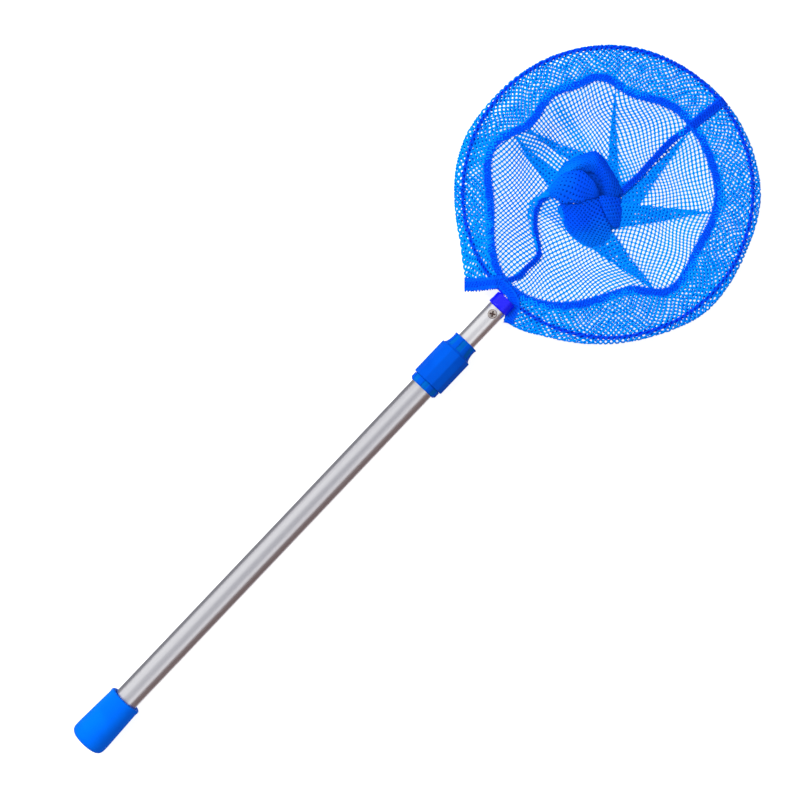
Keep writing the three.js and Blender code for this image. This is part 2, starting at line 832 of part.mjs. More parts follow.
// Closes a ring whose two halves run side by side.
function stripCap(count) {
  const faces = [];
  for (let i = 0; i < count / 2 - 1; i++) {
    const j = count - 1 - i;
    faces.push([i, i + 1, j], [i + 1, j - 1, j]);
  }
  return faces;
}

// A seam's tape, from the rim tape in to the bun between the edges of the two panels.
function seamTape(at) {
  const rings = [];
  for (let row = 0; rowRadius(at, row) > seamTapeEnd; row++) {
    const radius = rowRadius(at, row);
    const middle = degrees(at) + swirl(radius);
    const top = bagTop(radius, middle, 0) + seamTapeRise;
    const low = Math.max(restLevel + seatGap, bagUnderside(radius, middle) - seamTapeRise);
    const half = seamHalfWidth(radius);
    const shoulder = top - seamTapeBevel;
    const section = [
      [-1, low], [1, low], [1, shoulder],
      [seamTapeFlatShare, top], [-seamTapeFlatShare, top], [-1, shoulder],
    ];
    rings.push(section.map(
      ([side, height]) => atHoop(middle + setOff(radius, side * half), radius, height),
    ));
  }
  return lofted(rings, fanCap);
}

// Assembly

const dipNet = new THREE.Group();
const pole = new THREE.Group();
pole.rotation.z = -Math.PI / 2;
const net = new THREE.Group();
net.position.x = hoopCentre;
dipNet.add(pole, net);

function place(group, name, geometry, material, position = [0, 0, 0]) {
  const mesh = new THREE.Mesh(welded(geometry), material);
  mesh.name = name;
  mesh.position.set(...position);
  group.add(mesh);
}

const outerTube = ring(outerTubeDiameter, outerTubeDiameter - 2 * tubeWall, 0, outerTubeLength);
place(pole, 'end_cap', endCap(), blueGrip);
place(pole, 'outer_tube', outerTube, aluminium, [0, outerTubeStart, 0]);
place(pole, 'lock_body', lockBody(), blueLock, [0, lockStart, 0]);
place(pole, 'lock_collet', collet(), paleNylon, [0, colletStart, 0]);
place(pole, 'lock_nut', lockNut(), blueLock, [0, nutStart, 0]);
place(pole, 'tail_bushing', tailBushing(), paleNylon, [0, innerTubeStart, 0]);
place(pole, 'inner_tube', innerTube(), aluminium, [0, innerTubeStart, 0]);
place(pole, 'ferrule_plug', ferrulePlug(), violetPlastic, [0, ferruleStart, 0]);
const screwSeat = innerTubeDiameter / 2 + seatGap;
place(pole, 'ferrule_screw', ferruleScrew(), screwSteel, [0, ferruleStart - screwSetback, screwSeat]);

const inFromHem = sleeveHemWidth + seatGap;
const leftSleeve = flattenedTube(beside(farSeamAngle, pastSeam), leftEnd(inFromHem), clothThickness);
const rightSleeve = flattenedTube(rightEnd(inFromHem), beside(farSeamAgain, -pastSeam), clothThickness);
place(net, 'hoop_wire', hoopWire(), navyWire);
place(net, 'sleeve_left', leftSleeve, netCloth);
place(net, 'sleeve_right', rightSleeve, netCloth);
place(net, 'hem_left', flattenedTube(leftEnd(sleeveHemWidth), leftEnd(0), hemThickness), tapeCloth);
place(net, 'hem_right', flattenedTube(rightEnd(0), rightEnd(sleeveHemWidth), hemThickness), tapeCloth);
const seamSides = [-halfSeam, halfSeam].map((distance) => beside(farSeamAngle, distance));
const seamOverRim = flattenedTube(...seamSides, hemThickness);
place(net, 'sleeve_seam_tape', seamOverRim, tapeCloth);
place(net, 'rim_tape', rimTape(), tapeCloth);
place(net, 'bag_left', bagPanel(farSeamAngle, nearSeamAngle, leftPleatAngles), netCloth);
place(net, 'bag_right', bagPanel(nearSeamAngle, farSeamAgain, rightPleatAngles), netCloth);
place(net, 'far_seam_tape', seamTape(farSeamAngle), tapeCloth);
place(net, 'near_seam_tape', seamTape(nearSeamAngle), tapeCloth);

export default dipNet;
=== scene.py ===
"""Looks of the extendable dip net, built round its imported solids.

Lengths are millimetres until a mesh is made, where MM turns them into metres. X runs along the
pole from the butt to the net, and +Z is the open side of the net. Places on the net are measured
from the hoop's centre, as complex numbers where they lie in the plane of the hoop.
"""

import cmath
import math

import bmesh
import bpy
import numpy as np
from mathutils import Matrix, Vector


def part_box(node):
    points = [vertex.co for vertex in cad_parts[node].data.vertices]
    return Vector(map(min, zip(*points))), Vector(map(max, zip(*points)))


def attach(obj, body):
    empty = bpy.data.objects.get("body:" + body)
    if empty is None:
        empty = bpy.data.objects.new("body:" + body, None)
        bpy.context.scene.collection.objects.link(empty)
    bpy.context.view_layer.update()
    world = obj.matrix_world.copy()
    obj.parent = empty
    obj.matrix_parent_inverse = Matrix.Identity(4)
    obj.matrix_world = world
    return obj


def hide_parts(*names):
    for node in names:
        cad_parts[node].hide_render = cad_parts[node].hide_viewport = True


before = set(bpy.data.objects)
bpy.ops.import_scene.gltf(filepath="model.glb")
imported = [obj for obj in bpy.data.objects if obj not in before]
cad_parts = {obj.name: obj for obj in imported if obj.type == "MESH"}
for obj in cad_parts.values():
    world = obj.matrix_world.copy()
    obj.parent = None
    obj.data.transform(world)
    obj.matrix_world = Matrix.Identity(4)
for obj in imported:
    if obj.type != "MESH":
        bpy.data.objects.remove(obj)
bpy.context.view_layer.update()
ops = bpy.ops

MM = 0.001
WELD = 1e-7


def span(node):
    """Where a node starts and ends along the pole."""
    low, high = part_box(node)
    return low.x / MM, high.x / MM


# Stations and sizes, from the solids where they hold them
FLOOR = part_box("end_cap")[0].z / MM
CAP_END = span("end_cap")[1]
OUTER_TUBE = span("outer_tube")
INNER_TUBE = span("inner_tube")
LOCK_START, LOCK_END = span("lock_body")
NUT_START, NOSE_END = span("lock_nut")
NUT_END = NUT_START + 31
WIRE_START, HOOP_END = span("hoop_wire")
WIRE_RADIUS = 1.25
HOOP_RADIUS = 108.5
HOOP_CENTRE = HOOP_END - WIRE_RADIUS - HOOP_RADIUS
FERRULE_START = OUTER_TUBE[1] + 63.8
FERRULE_END = FERRULE_START + 9.9
TUBE_WALL = 0.8
OUTER_RADIUS = 9.5
INNER_RADIUS = 7.5

# The wire's legs lie this far to each side of the pole's axis
LEG_Y = 4.0

# Camera: straight over the point that the photograph's centre shows
CAMERA_OVER = (0.3495, 0.0058)
CAMERA_HEIGHT = 1.571
CAMERA_TURN = -46.467
CAMERA_FIELD = 21.57
SENSOR = 36

# The cards begin this far before the butt, in metres
CARD_START = 0.14


def in_scene(name, data):
    made = bpy.data.objects.new(name, data)
    bpy.context.collection.objects.link(made)
    return made


# Materials


def tone(red, green, blue):
    """A colour as it shows, from 0 to 255, as Blender's linear colour."""
    shares = [x / 255 for x in (red, green, blue)]
    return (*[x / 12.92 if x <= 0.04045 else ((x + 0.055) / 1.055) ** 2.4 for x in shares], 1)


class Nodes:
    """Adds nodes to a material or a group. An input takes a value or another node's output."""

    def __init__(self, tree):
        self.tree = tree

    def fill(self, node, inputs):
        for key, value in inputs.items():
            if isinstance(value, bpy.types.NodeSocket):
                self.tree.links.new(value, node.inputs[key])
            else:
                node.inputs[key].default_value = value

    def add(self, kind, inputs=None, **settings):
        made = self.tree.nodes.new("ShaderNode" + kind)
        for key, value in settings.items():
            setattr(made, key, value)
        self.fill(made, inputs or {})
        return made

    def math(self, operation, a, b=0.0, clamp=False):
        made = self.add("Math", {0: a, 1: b}, operation=operation, use_clamp=clamp)
        return made.outputs[0]

    def plus(self, a, b, clamp=False):
        return self.math("ADD", a, b, clamp)

    def times(self, a, b):
        return self.math("MULTIPLY", a, b)

    def blend(self, share, a, b):
        return self.add("Mix", {0: share, 6: a, 7: b}, data_type="RGBA").outputs[2]

    def ramp(self, value, low, high, to_low=0.0, to_high=1.0):
        ends = {"From Min": low, "From Max": high, "To Min": to_low, "To Max": to_high}
        made = self.add("MapRange", {"Value": value, **ends}, interpolation_type="SMOOTHSTEP")
        return made.outputs[0]

    def noise(self, where, scale, detail=2.0, rough=0.5):
        inputs = {"Vector": where, "Scale": scale, "Detail": detail, "Roughness": rough}
        return self.add("TexNoise", inputs).outputs["Fac"]

    def stretched(self, where, scale):
        return self.add("Mapping", {"Vector": where, "Scale": scale}).outputs[0]


def group(name, inputs):
    """A node group that takes named inputs and gives a colour, a roughness and a height: its
    Nodes, its inputs, and a call that links what it gives."""
    tree = bpy.data.node_groups.new(name, "ShaderNodeTree")
    outputs = {"Colour": "Color", "Roughness": "Float", "Height": "Float"}
    for way, sockets in (("INPUT", inputs), ("OUTPUT", outputs)):
        for label, kind in sockets.items():
            tree.interface.new_socket(name=label, in_out=way, socket_type="NodeSocket" + kind)
    given = tree.nodes.new("NodeGroupInput").outputs
    leave = tree.nodes.new("NodeGroupOutput").inputs

    def give(colour, roughness, height):
        for socket, value in zip(leave, (colour, roughness, height)):
            tree.links.new(value, socket)
        return tree

    return Nodes(tree), given, give


def moulded_skin_group():
    """Moulded plastic: broad mottling of the colour, fine grain, and rubbed streaks."""
    nodes, given, give = group(
        "moulded skin", {"Colour": "Color", "Shade": "Color", "Grain": "Float", "Gloss": "Float"}
    )
    where = nodes.add("TexCoord").outputs["Object"]
    mottle = nodes.ramp(nodes.noise(where, 55.0, 3.0), 0.35, 0.7)
    streaks = nodes.noise(nodes.stretched(where, (0.25, 1.0, 1.0)), 700.0, 4.0)
    rubbed = nodes.ramp(streaks, 0.6, 0.75)
    grain = nodes.noise(where, given["Grain"])
    scatter = nodes.times(nodes.plus(grain, -0.5), 0.12)
    rough = nodes.plus(nodes.plus(given["Gloss"], scatter), nodes.times(rubbed, 0.1))
    height = nodes.plus(grain, nodes.times(rubbed, -0.3))
    return give(nodes.blend(mottle, given["Colour"], given["Shade"]), rough, height)


def drawn_metal_group():
    """Drawn metal: fine lines along the pole, faint broader bands, and small smears."""
    nodes, given, give = group(
        "drawn metal", {"Colour": "Color", "Line": "Color", "Gloss": "Float"}
    )
    where = nodes.add("TexCoord").outputs["Object"]
    fine = nodes.noise(nodes.stretched(where, (0.006, 1.0, 1.0)), 1800.0, 3.0, 0.7)
    band = nodes.ramp(nodes.noise(nodes.stretched(where, (0.01, 1.0, 1.0)), 190.0), 0.4, 0.65)
    smear = nodes.ramp(nodes.noise(where, 85.0, 4.0, 0.6), 0.5, 0.75)
    shade = nodes.plus(nodes.times(band, 0.6), nodes.times(fine, 0.4))
    colour = nodes.blend(shade, given["Colour"], given["Line"])
    rough = nodes.plus(nodes.times(fine, 0.14), nodes.times(smear, 0.06))
    return give(colour, nodes.plus(given["Gloss"], rough), fine)


def knit_group():
    """Knitted thread: knots deeper in colour than the links, and the twist of the yarn as
    height. The colour is painted darker where cloth lies on cloth, and darker still inside the
    gathers, as painted shade. It reads the cloth's own coordinates and each point's ply value,
    which sets that painted shade."""
    nodes, given, give = group("knit", dict.fromkeys(("Colour", "Knot", "Deep", "Hidden"), "Color"))
    cloth = nodes.add("Attribute", attribute_name="knit").outputs["Vector"]
    ply = nodes.add("Attribute", attribute_name="ply").outputs["Fac"]
    parts = nodes.add("SeparateXYZ", {0: cloth}).outputs[:2]
    squares = [nodes.math("POWER", nodes.math("PINGPONG", part, 0.5), 2.0) for part in parts]
    knot = nodes.ramp(nodes.math("POWER", nodes.plus(*squares), 0.5), 0.12, 0.4, 1.0, 0.0)
    fibre = nodes.noise(nodes.stretched(cloth, (9.0, 9.0, 1.0)), 1.6, 3.0, 0.6)
    drift = nodes.ramp(nodes.noise(cloth, 0.16), 0.35, 0.7)
    thread = nodes.blend(nodes.times(knot, 0.8), given["Colour"], given["Knot"])
    # painted shade: the colour darkens with the ply value, plus a random drift in tone
    shade_and_drift = nodes.plus(nodes.times(ply, 0.85), nodes.times(drift, 0.12), True)
    painted_shade_colour = nodes.blend(shade_and_drift, thread, given["Deep"])
    # past a ply value of one the painted shade darkens further, towards the darkest shade colour
    colour = nodes.blend(nodes.ramp(ply, 1.0, 2.0), painted_shade_colour, given["Hidden"])
    return give(colour, nodes.plus(nodes.times(fibre, 0.25), 0.62), nodes.plus(fibre, knot))


def binding_group():
    """Folded binding tape: close ribs across it, loops of yarn painted darker between them as
    painted shade, and paler rubbed edges. It reads the tape's own coordinates: length along it
    and place across it, in millimetres."""
    nodes, given, give = group("binding", dict.fromkeys(("Colour", "Hollow", "Worn"), "Color"))
    weave = nodes.add("Attribute", attribute_name="weave").outputs["Vector"]
    along, across, _ = nodes.add("SeparateXYZ", {0: weave}).outputs
    slant = nodes.plus(along, nodes.times(across, 0.5))
    rib = nodes.math("ABSOLUTE", nodes.math("SINE", nodes.times(slant, 1.5)))
    cross = nodes.math("ABSOLUTE", nodes.math("SINE", nodes.times(across, 1.9)))
    loop = nodes.times(rib, nodes.plus(nodes.times(cross, 0.5), 0.5))
    fibre = nodes.noise(weave, 5.0, 3.0, 0.6)
    patch = nodes.ramp(nodes.noise(weave, 0.8, 3.0, 0.6), 0.45, 0.62)
    edge = nodes.ramp(nodes.math("ABSOLUTE", across), 1.6, 3.0)
    # painted shade: the yarn is darker in the hollows between its loops
    yarn = nodes.blend(nodes.ramp(loop, 0.1, 0.7), given["Hollow"], given["Colour"])
    share = nodes.plus(nodes.times(patch, 0.45), nodes.times(edge, 0.4))
    height = nodes.plus(loop, nodes.times(fibre, 0.4))
    colour = nodes.blend(share, yarn, given["Worn"])
    return give(colour, nodes.plus(nodes.times(fibre, 0.25), 0.6), height)


SKIN = moulded_skin_group()
METAL = drawn_metal_group()
KNIT = knit_group()
BINDING = binding_group()
SPECULAR = "Specular IOR Level"
WHITE = (1, 1, 1, 1)


def new_material(name):
    """A material with its Nodes and its shader."""
    made = bpy.data.materials.new(name)
    made.use_nodes = True
    return made, Nodes(made.node_tree), made.node_tree.nodes["Principled BSDF"]


def material(name, tree, inputs, bump, shader):
    """A material whose colour, roughness and height come from a group, with the rest of the
    shader's values on its own sockets. Colours run to 255, and bump is a strength and a distance
    in metres."""
    made, nodes, principled = new_material(name)
    inputs = {key: tone(*x) if isinstance(x, tuple) else x for key, x in inputs.items()}
    source = nodes.add("Group", inputs, node_tree=tree).outputs
    strength, distance = bump
    relief = {"Height": source["Height"], "Strength": strength, "Distance": distance}
    nodes.fill(principled, {
        "Base Color": source["Colour"],
        "Roughness": source["Roughness"],
        "Normal": nodes.add("Bump", relief).outputs[0],
        **shader,
    })
    return made


def plastic(name, colour, shade, grain, gloss, bump, level):
    inputs = {"Colour": colour, "Shade": shade, "Grain": grain, "Gloss": gloss}
    return material(name, SKIN, inputs, bump, {SPECULAR: level})


def metal(name, colour, line, gloss, bump, metallic=1.0):
    inputs = {"Colour": colour, "Line": line, "Gloss": gloss}
    return material(name, METAL, inputs, bump, {"Metallic": metallic})


def tape(name, colour, hollow, worn):
    inputs = {"Colour": colour, "Hollow": hollow, "Worn": worn}
    return material(name, BINDING, inputs, (0.6, 0.00025), {SPECULAR: 0.04})


GRIP = plastic("grip plastic", (0, 109, 246), (0, 102, 240), 900.0, 0.5, (0.25, 0.0002), 0.02)
LOCK = plastic("lock plastic", (0, 84, 209), (0, 77, 200), 1400.0, 0.36, (0.15, 0.0001), 0.025)
# Pocket floors of the flutes: the lock plastic painted darker, as painted shade in the recesses
POCKET_SHADE = plastic("pocket plastic", (0, 98, 194), (0, 90, 182), 2200.0, 0.6, (0.4, 0.0001), 0.03)
FERRULE = plastic("ferrule plastic", (8, 8, 255), (4, 4, 250), 1600.0, 0.24, (0.1, 0.0001), 0.4)
NYLON = plastic("nylon", (232, 230, 220), (222, 218, 204), 1200.0, 0.5, (0.2, 0.0001), 0.4)
COATING = plastic("wire coating", (12, 40, 245), (8, 30, 230), 1500.0, 0.42, (0.15, 0.0001), 0.1)
THREAD = plastic("stitch thread", (0, 116, 255), (0, 98, 252), 3000.0, 0.7, (0.3, 0.0001), 0.04)
SATIN = metal("satin aluminium", (222, 222, 226), (206, 205, 211), 0.28, (0.12, 0.00005))
# The inner tube's aluminium: the outer tube's painted lighter, a painted highlight for its brighter
# reflections
PAINTED_LIGHTER_ALUMINIUM = metal("bright aluminium", (239, 239, 242), (223, 222, 227), 0.26, (0.12, 0.00005))
STEEL = metal("plated steel", (196, 188, 184), (160, 150, 146), 0.16, (0.1, 0.00004))
# Steel painted dark, as painted shade in the screw's cross slots and round its head's rim
SCREW_SHADE = metal("tarnished steel", (96, 72, 66), (64, 44, 40), 0.4, (0.2, 0.00004), 0.6)
# Each tape's second colour is painted shade between its loops of yarn
RIM_TAPE = tape("rim tape", (0, 66, 240), (0, 44, 200), (0, 116, 255))
SEAM_TAPE = tape("seam tape", (0, 54, 216), (0, 36, 172), (0, 88, 250))
HEM_TAPE = tape("hem tape", (0, 76, 244), (0, 50, 208), (0, 106, 255))
# The net's two darkest colours are painted shade, for plies, gathers and the bun's hollow
NET = material(
    "net thread",
    KNIT,
    {"Colour": (0, 154, 255), "Knot": (0, 128, 255), "Deep": (0, 72, 230), "Hidden": (0, 54, 160)},
    (0.5, 0.0001),
    # painted glow: a faint emission standing in for light passing through the thin thread
    {SPECULAR: 0.04, "Emission Color": tone(0, 110, 255), "Emission Strength": 0.06},
)


# Pieces modelled


def mode(name):
    ops.object.mode_set(mode=name)


def bare():
    if bpy.context.object and bpy.context.object.mode != "OBJECT":
        mode("OBJECT")
    ops.object.select_all(action="DESELECT")


def only(piece):
    bare()
    piece.select_set(True)
    bpy.context.view_layer.objects.active = piece


def close_up():
    """Welds seams and poles, turns all faces outwards and leaves edit mode."""
    ops.mesh.select_all(action="SELECT")
    ops.mesh.remove_doubles(threshold=WELD)
    ops.mesh.normals_make_consistent(inside=False)
    mode("OBJECT")


def apply_modifier(piece, kind, **settings):
    only(piece)
    modifier = piece.modifiers.new(kind.lower(), kind)
    for key, value in settings.items():
        setattr(modifier, key, value)
    ops.object.modifier_apply(modifier=modifier.name)


def combine(piece, operation, other):
    apply_modifier(piece, "BOOLEAN", operation=operation, object=other, solver="EXACT")
    bpy.data.objects.remove(other)


def soften(piece, width, segments, angle=30):
    limit = {"limit_method": "ANGLE", "angle_limit": math.radians(angle)}
    width *= MM
    apply_modifier(piece, "BEVEL", width=width, segments=segments, harden_normals=False, **limit)


def fix_place(piece):
    only(piece)
    ops.object.transform_apply(location=True, rotation=True, scale=True)


def settle(piece, finish, smooth_angle=32):
    """Puts the piece's place in its mesh, smooths it and gives it its material."""
    fix_place(piece)
    ops.object.shade_smooth_by_angle(angle=math.radians(smooth_angle))
    if not piece.data.materials:
        piece.data.materials.append(finish)
    return piece


def at(station, *points):
    """Points of an outline whose stations are counted from one along the pole."""
    return [(station + x, radius) for x, radius in points]


def turned(name, outline, steps=96, start=0):
    """A piece of revolution round the pole's axis, from its outline of stations and radii: up
    along the outside, and back along the bore where there is one."""
    bare()
    ops.mesh.primitive_plane_add(size=MM)
    piece = bpy.context.object
    piece.name = name
    mode("EDIT")
    ops.mesh.select_mode(type="VERT")
    ops.mesh.select_all(action="SELECT")
    ops.mesh.merge(type="CENTER")
    station, radius = outline[0]
    ops.transform.translate(value=(station * MM, 0, radius * MM))
    points = [*outline, outline[0]] if radius > 0 else outline
    for (from_x, from_r), (to_x, to_r) in zip(points, points[1:]):
        step = ((to_x - from_x) * MM, 0, (to_r - from_r) * MM)
        ops.mesh.extrude_region_move(TRANSFORM_OT_translate={"value": step})
    ops.mesh.select_all(action="SELECT")
    ops.mesh.spin(steps=steps, angle=2 * math.pi, center=(0, 0, 0), axis=(1, 0, 0))
    close_up()
    piece.rotation_euler.x = math.radians(start)
    fix_place(piece)
    return piece


# Flutes are centred on +Z and round from there
FLUTES = 8
FLUTE_HALF_ANGLE = 11.5
FLUTE_DEPTH = 0.4


def in_flute(centre):
    turn = math.degrees(math.atan2(centre.y, centre.z))
    pitch = 360 / FLUTES
    return abs((turn + pitch / 2) % pitch - pitch / 2) < FLUTE_HALF_ANGLE


def sink_flutes(piece, low, high, inner):
    """Sinks the skin of each flute, outside a radius and between two stations, as one pocket
    whose floor is painted darker, as painted shade in the recess."""
    only(piece)
    mode("EDIT")
    ops.mesh.select_mode(type="FACE")
    ops.mesh.select_all(action="DESELECT")
    mode("OBJECT")
    for polygon in piece.data.polygons:
        centre = polygon.center / MM
        skin = low < centre.x < high and math.hypot(centre.y, centre.z) > inner
        polygon.select = skin and in_flute(centre) and abs(polygon.normal.x) < 0.9
    mode("EDIT")
    sunk = {"value": -FLUTE_DEPTH * MM}
    ops.mesh.extrude_region_shrink_fatten(TRANSFORM_OT_shrink_fatten=sunk)
    mode("OBJECT")
    floors = [polygon.index for polygon in piece.data.polygons if polygon.select]
    for entry in (LOCK, POCKET_SHADE):
        piece.data.materials.append(entry)
    for index in floors:
        piece.data.polygons[index].material_index = 1


def make_cap():
    butt, corner, end_radius = 1.4, 5.2, 14.4
    mouth, bore, floor = 13.1, OUTER_RADIUS + 0.25, 3.4
    outline = [
        *at(butt, (0.5, 0), (0.5, 5.0), (0, 6.4)),
        *[
            (butt + corner + corner * math.cos(a), end_radius - corner + corner * math.sin(a))
            for a in np.radians(np.linspace(180, 95, 9))
        ],
        (butt + corner + 4, end_radius + 0.05), (22, 13.95), (34, 13.45),
        *at(CAP_END, (-4.5, mouth), (-3.2, mouth), (-1.9, mouth + 0.25), (-0.7, mouth + 0.15)),
        *at(CAP_END, (-0.1, mouth - 0.7), (0, mouth - 1.4), (-0.25, bore + 0.5), (-1, bore)),
        (floor, bore), (floor, 0),
    ]
    piece = turned("butt_cap", outline)
    soften(piece, 0.35, 2, 28)
    return settle(piece, GRIP)


def make_tube(name, ends, radius, finish):
    low, high = ends
    inner = radius - TUBE_WALL
    outline = [
        *at(low, (0.2, inner), (0, inner + 0.2), (0, radius - 0.25), (0.25, radius)),
        *[(low + (high - low) * i / 8, radius) for i in range(1, 8)],
        *at(high, (-0.25, radius), (0, radius - 0.25), (0, inner + 0.2), (-0.2, inner)),
    ]
    return settle(turned(name, outline), finish)


def make_lock_ring():
    outer, spigot, bore, seat = 12.2, 11.0, OUTER_RADIUS + 0.25, INNER_RADIUS + 0.3
    ring_end = LOCK_START + 5.9
    piece = turned("lock_ring", [
        *at(LOCK_START, (0, bore), (0, 10.6), (1.5, outer), (2.2, outer)),
        *at(ring_end, (-0.5, outer), (0, outer), (0, spigot)),
        *at(LOCK_END, (-0.6, spigot), (0, 10.4), (0, seat)),
        *at(LOCK_START, (18.6, seat), (18.6, bore)),
    ])
    sink_flutes(piece, LOCK_START + 0.7, ring_end - 0.2, 11.2)
    soften(piece, 0.22, 2, 28)
    return settle(piece, LOCK)


def make_lock_nut():
    skin, flats, bore = 11.7, 13.75, INNER_RADIUS + 0.4
    outline = [
        *at(NUT_START, (0, skin), (0, flats - 0.55), (0.6, flats)),
        *at(NUT_END, (-0.6, flats), (0, flats - 0.55), (0, skin)),
    ]
    body = turned("lock_nut_shell", outline, steps=12, start=15)
    soften(body, 0.9, 4, 20)
    nose = turned("lock_nose", [
        *at(NUT_END, (-18, 11.35), (-18, 12.1), (-0.2, 12.1), (0.5, 11.75), (1.3, 11.3)),
        *at(NUT_END, (3.2, 10.75), (5.4, 10.35), (7.4, 10.2), (9.2, 10.25)),
        *at(NOSE_END, (-0.9, 10.4), (-0.3, 10.45), (0, 10.1), (0, 8.3)),
        *at(NOSE_END, (-0.4, bore), (-6, bore), (-6, 9.3)),
        *at(NUT_END, (-6, 11.0), (-6, 11.35)),
    ])
    sink_flutes(nose, NUT_END + 1.35, NOSE_END - 0.95, 10.0)
    soften(nose, 0.2, 2)
    for entry in (LOCK, POCKET_SHADE):
        body.data.materials.append(entry)
    combine(body, "UNION", nose)
    return settle(body, LOCK)


def make_ferrule():
    bore = INNER_RADIUS - TUBE_WALL - 0.2
    back = FERRULE_START - 24
    piece = turned("ferrule_collar", [
        *at(back, (0, 0), (0, bore - 0.8), (0.8, bore)),
        *at(FERRULE_START, (0, bore), (0.05, 8.2), (0.5, 8.7), (1.4, 8.8), (2.6, 8.7), (3.4, 8.55)),
        *at(FERRULE_END, (-1.0, 8.45), (-0.4, 8.3), (-0.1, 8.0), (0, 7.5), (0, 0)),
    ])
    for side in (-1, 1):
        bare()
        ops.mesh.primitive_cylinder_add(
            vertices=40,
            radius=(WIRE_RADIUS + 0.3) * MM,
            depth=28 * MM,
            location=((FERRULE_END - 12) * MM, side * LEG_Y * MM, 0),
            rotation=(0, math.pi / 2, 0),
        )
        combine(piece, "DIFFERENCE", bpy.context.object)
    return settle(piece, FERRULE)


def make_screw():
    """A pan-head screw, turned lying along X and then stood up on the tube."""
    head, height, shank, length = 3.5, 1.85, 1.3, 13
    piece = turned("ferrule_screw_head", [
        (-length, 0), (-length + shank, shank), (-0.3, shank), (0, shank + 0.3), (0, head - 0.3),
        (0.25, head), (0.7, head), (1.15, 0.93 * head), (1.5, 0.78 * head), (1.72, 0.55 * head),
        (height, 0.28 * head), (height, 0),
    ], steps=64)
    for entry in (STEEL, SCREW_SHADE):
        piece.data.materials.append(entry)
    # the cross slots are cut with the dark steel, as painted shade in the recess
    for turn in (30, 120):
        bare()
        ops.mesh.primitive_cube_add(size=MM, location=(1.6 * MM, 0, 0))
        slot = bpy.context.object
        slot.data.materials.append(SCREW_SHADE)
        mode("EDIT")
        ops.transform.resize(value=(2.4, 1.15, 4.6))
        ops.mesh.select_all(action="SELECT")
        ops.mesh.bevel(offset=0.2 * MM, segments=2)
        mode("OBJECT")
        slot.rotation_euler.x = math.radians(turn)
        combine(piece, "DIFFERENCE", slot)
    # painted shade: the rim of the head takes the dark steel
    for polygon in piece.data.polygons:
        spot = polygon.center / MM
        if math.hypot(spot.y, spot.z) > 0.9 * head and spot.x > -0.1:
            polygon.material_index = 1
    only(piece)
    piece.rotation_euler.y = -math.pi / 2
    piece.location = ((FERRULE_START - 6) * MM, 0, (INNER_RADIUS + 0.25) * MM)
    return settle(piece, STEEL, 40)


# Cloth and wire, in the plane of the hoop


def spline(points, count):
    """A smooth line through points, sampled along its first axis."""
    points = np.asarray(points, float)
    ends = [2 * points[:1] - points[1:2], points, 2 * points[-1:] - points[-2:-1]]
    padded = np.concatenate(ends)
    where = np.linspace(0, len(points) - 1, count)
    i = np.minimum(where.astype(int), len(points) - 2)
    u = (where - i).reshape(-1, *[1] * (points.ndim - 1))
    a, b, c, d = padded[i], padded[i + 1], padded[i + 2], padded[i + 3]
    bend = (2 * a - 5 * b + 4 * c - d) * u**2
    return 0.5 * (2 * b + (c - a) * u + bend + (3 * b - a - 3 * c + d) * u**3)


def smooth(value, low, high):
    share = np.clip((value - low) / (high - low), 0, 1)
    return share * share * (3 - 2 * share)


def lengths(line):
    """How far along a line each of its points lies."""
    gaps = np.linalg.norm(np.diff(line, axis=0), axis=1)
    return np.concatenate([[0], np.cumsum(gaps)])


def stacked(line, along, stations):
    """Points of a line at stations along it."""
    return np.stack([np.interp(stations, along, line[:, k]) for k in range(3)], 1)


def polar(radius, angle):
    return radius * np.exp(1j * np.radians(angle))


def degrees_of(plane):
    return np.degrees(np.angle(plane))


def to_mesh(name, points, faces, finish):
    """A piece from points in millimetres about the hoop's centre."""
    mesh = bpy.data.meshes.new(name)
    placed = (np.asarray(points) + (HOOP_CENTRE, 0, 0)) * MM
    mesh.from_pydata(placed.tolist(), [], faces)
    mesh.materials.append(finish)
    return in_scene(name, mesh)


def keep_values(piece, name, values):
    """Stores a value or a vector for each vertex of a piece."""
    kind, key = ("FLOAT", "value") if values.ndim == 1 else ("FLOAT_VECTOR", "vector")
    attribute = piece.data.attributes.new(name, kind, "POINT")
    attribute.data.foreach_set(key, values.astype(np.float32).ravel())


# The rim tape wanders in and out: degrees round the hoop from +X, and its radius
RIM_LINE = [
    (-124, 75), (-103, 87), (-76, 79.5), (-47, 83), (-28, 81), (0, 81.5), (28, 76.5),
    (49, 87), (60, 84), (71, 85), (91, 78), (114, 93.5), (138, 88.5), (176, 102.5),
]
FAR_SEAM = -8
NEAR_SEAM = 176

# The mesh: its pitch, the half width, half height and cut corner of a hole as shares of the
# pitch, the thickness of the cloth, and how low its middle may lie
PITCH = 2.75
HOLE = (0.405, 0.312, 0.17)
CLOTH = 0.5
LOWEST = FLOOR + 0.4

# Tapes and hems: the steps along their lines, the height of their ribs, the stitches along
# them, and a radius past the flaps
LINE_STEP = 0.4
RIB_HEIGHT = 0.2
STITCH_PITCH = 2.3
THREAD_RADIUS = 0.3
HEM_REACH = 200


def rim_radius(angle):
    """Radius of the rim tape's middle at angles in degrees, eased from crest to trough."""
    knots = np.array(RIM_LINE + [(RIM_LINE[0][0] + 360, RIM_LINE[0][1])], float)
    turn = (np.asarray(angle, float) - knots[0, 0]) % 360 + knots[0, 0]
    i = np.clip(np.searchsorted(knots[:, 0], turn, "right") - 1, 0, len(knots) - 2)
    share = smooth(turn, knots[i, 0], knots[i + 1, 0])
    return knots[i, 1] + (knots[i + 1, 1] - knots[i, 1]) * share


def rim_point(angle, inset=0.0):
    return complex(polar(rim_radius(angle) - inset, angle))


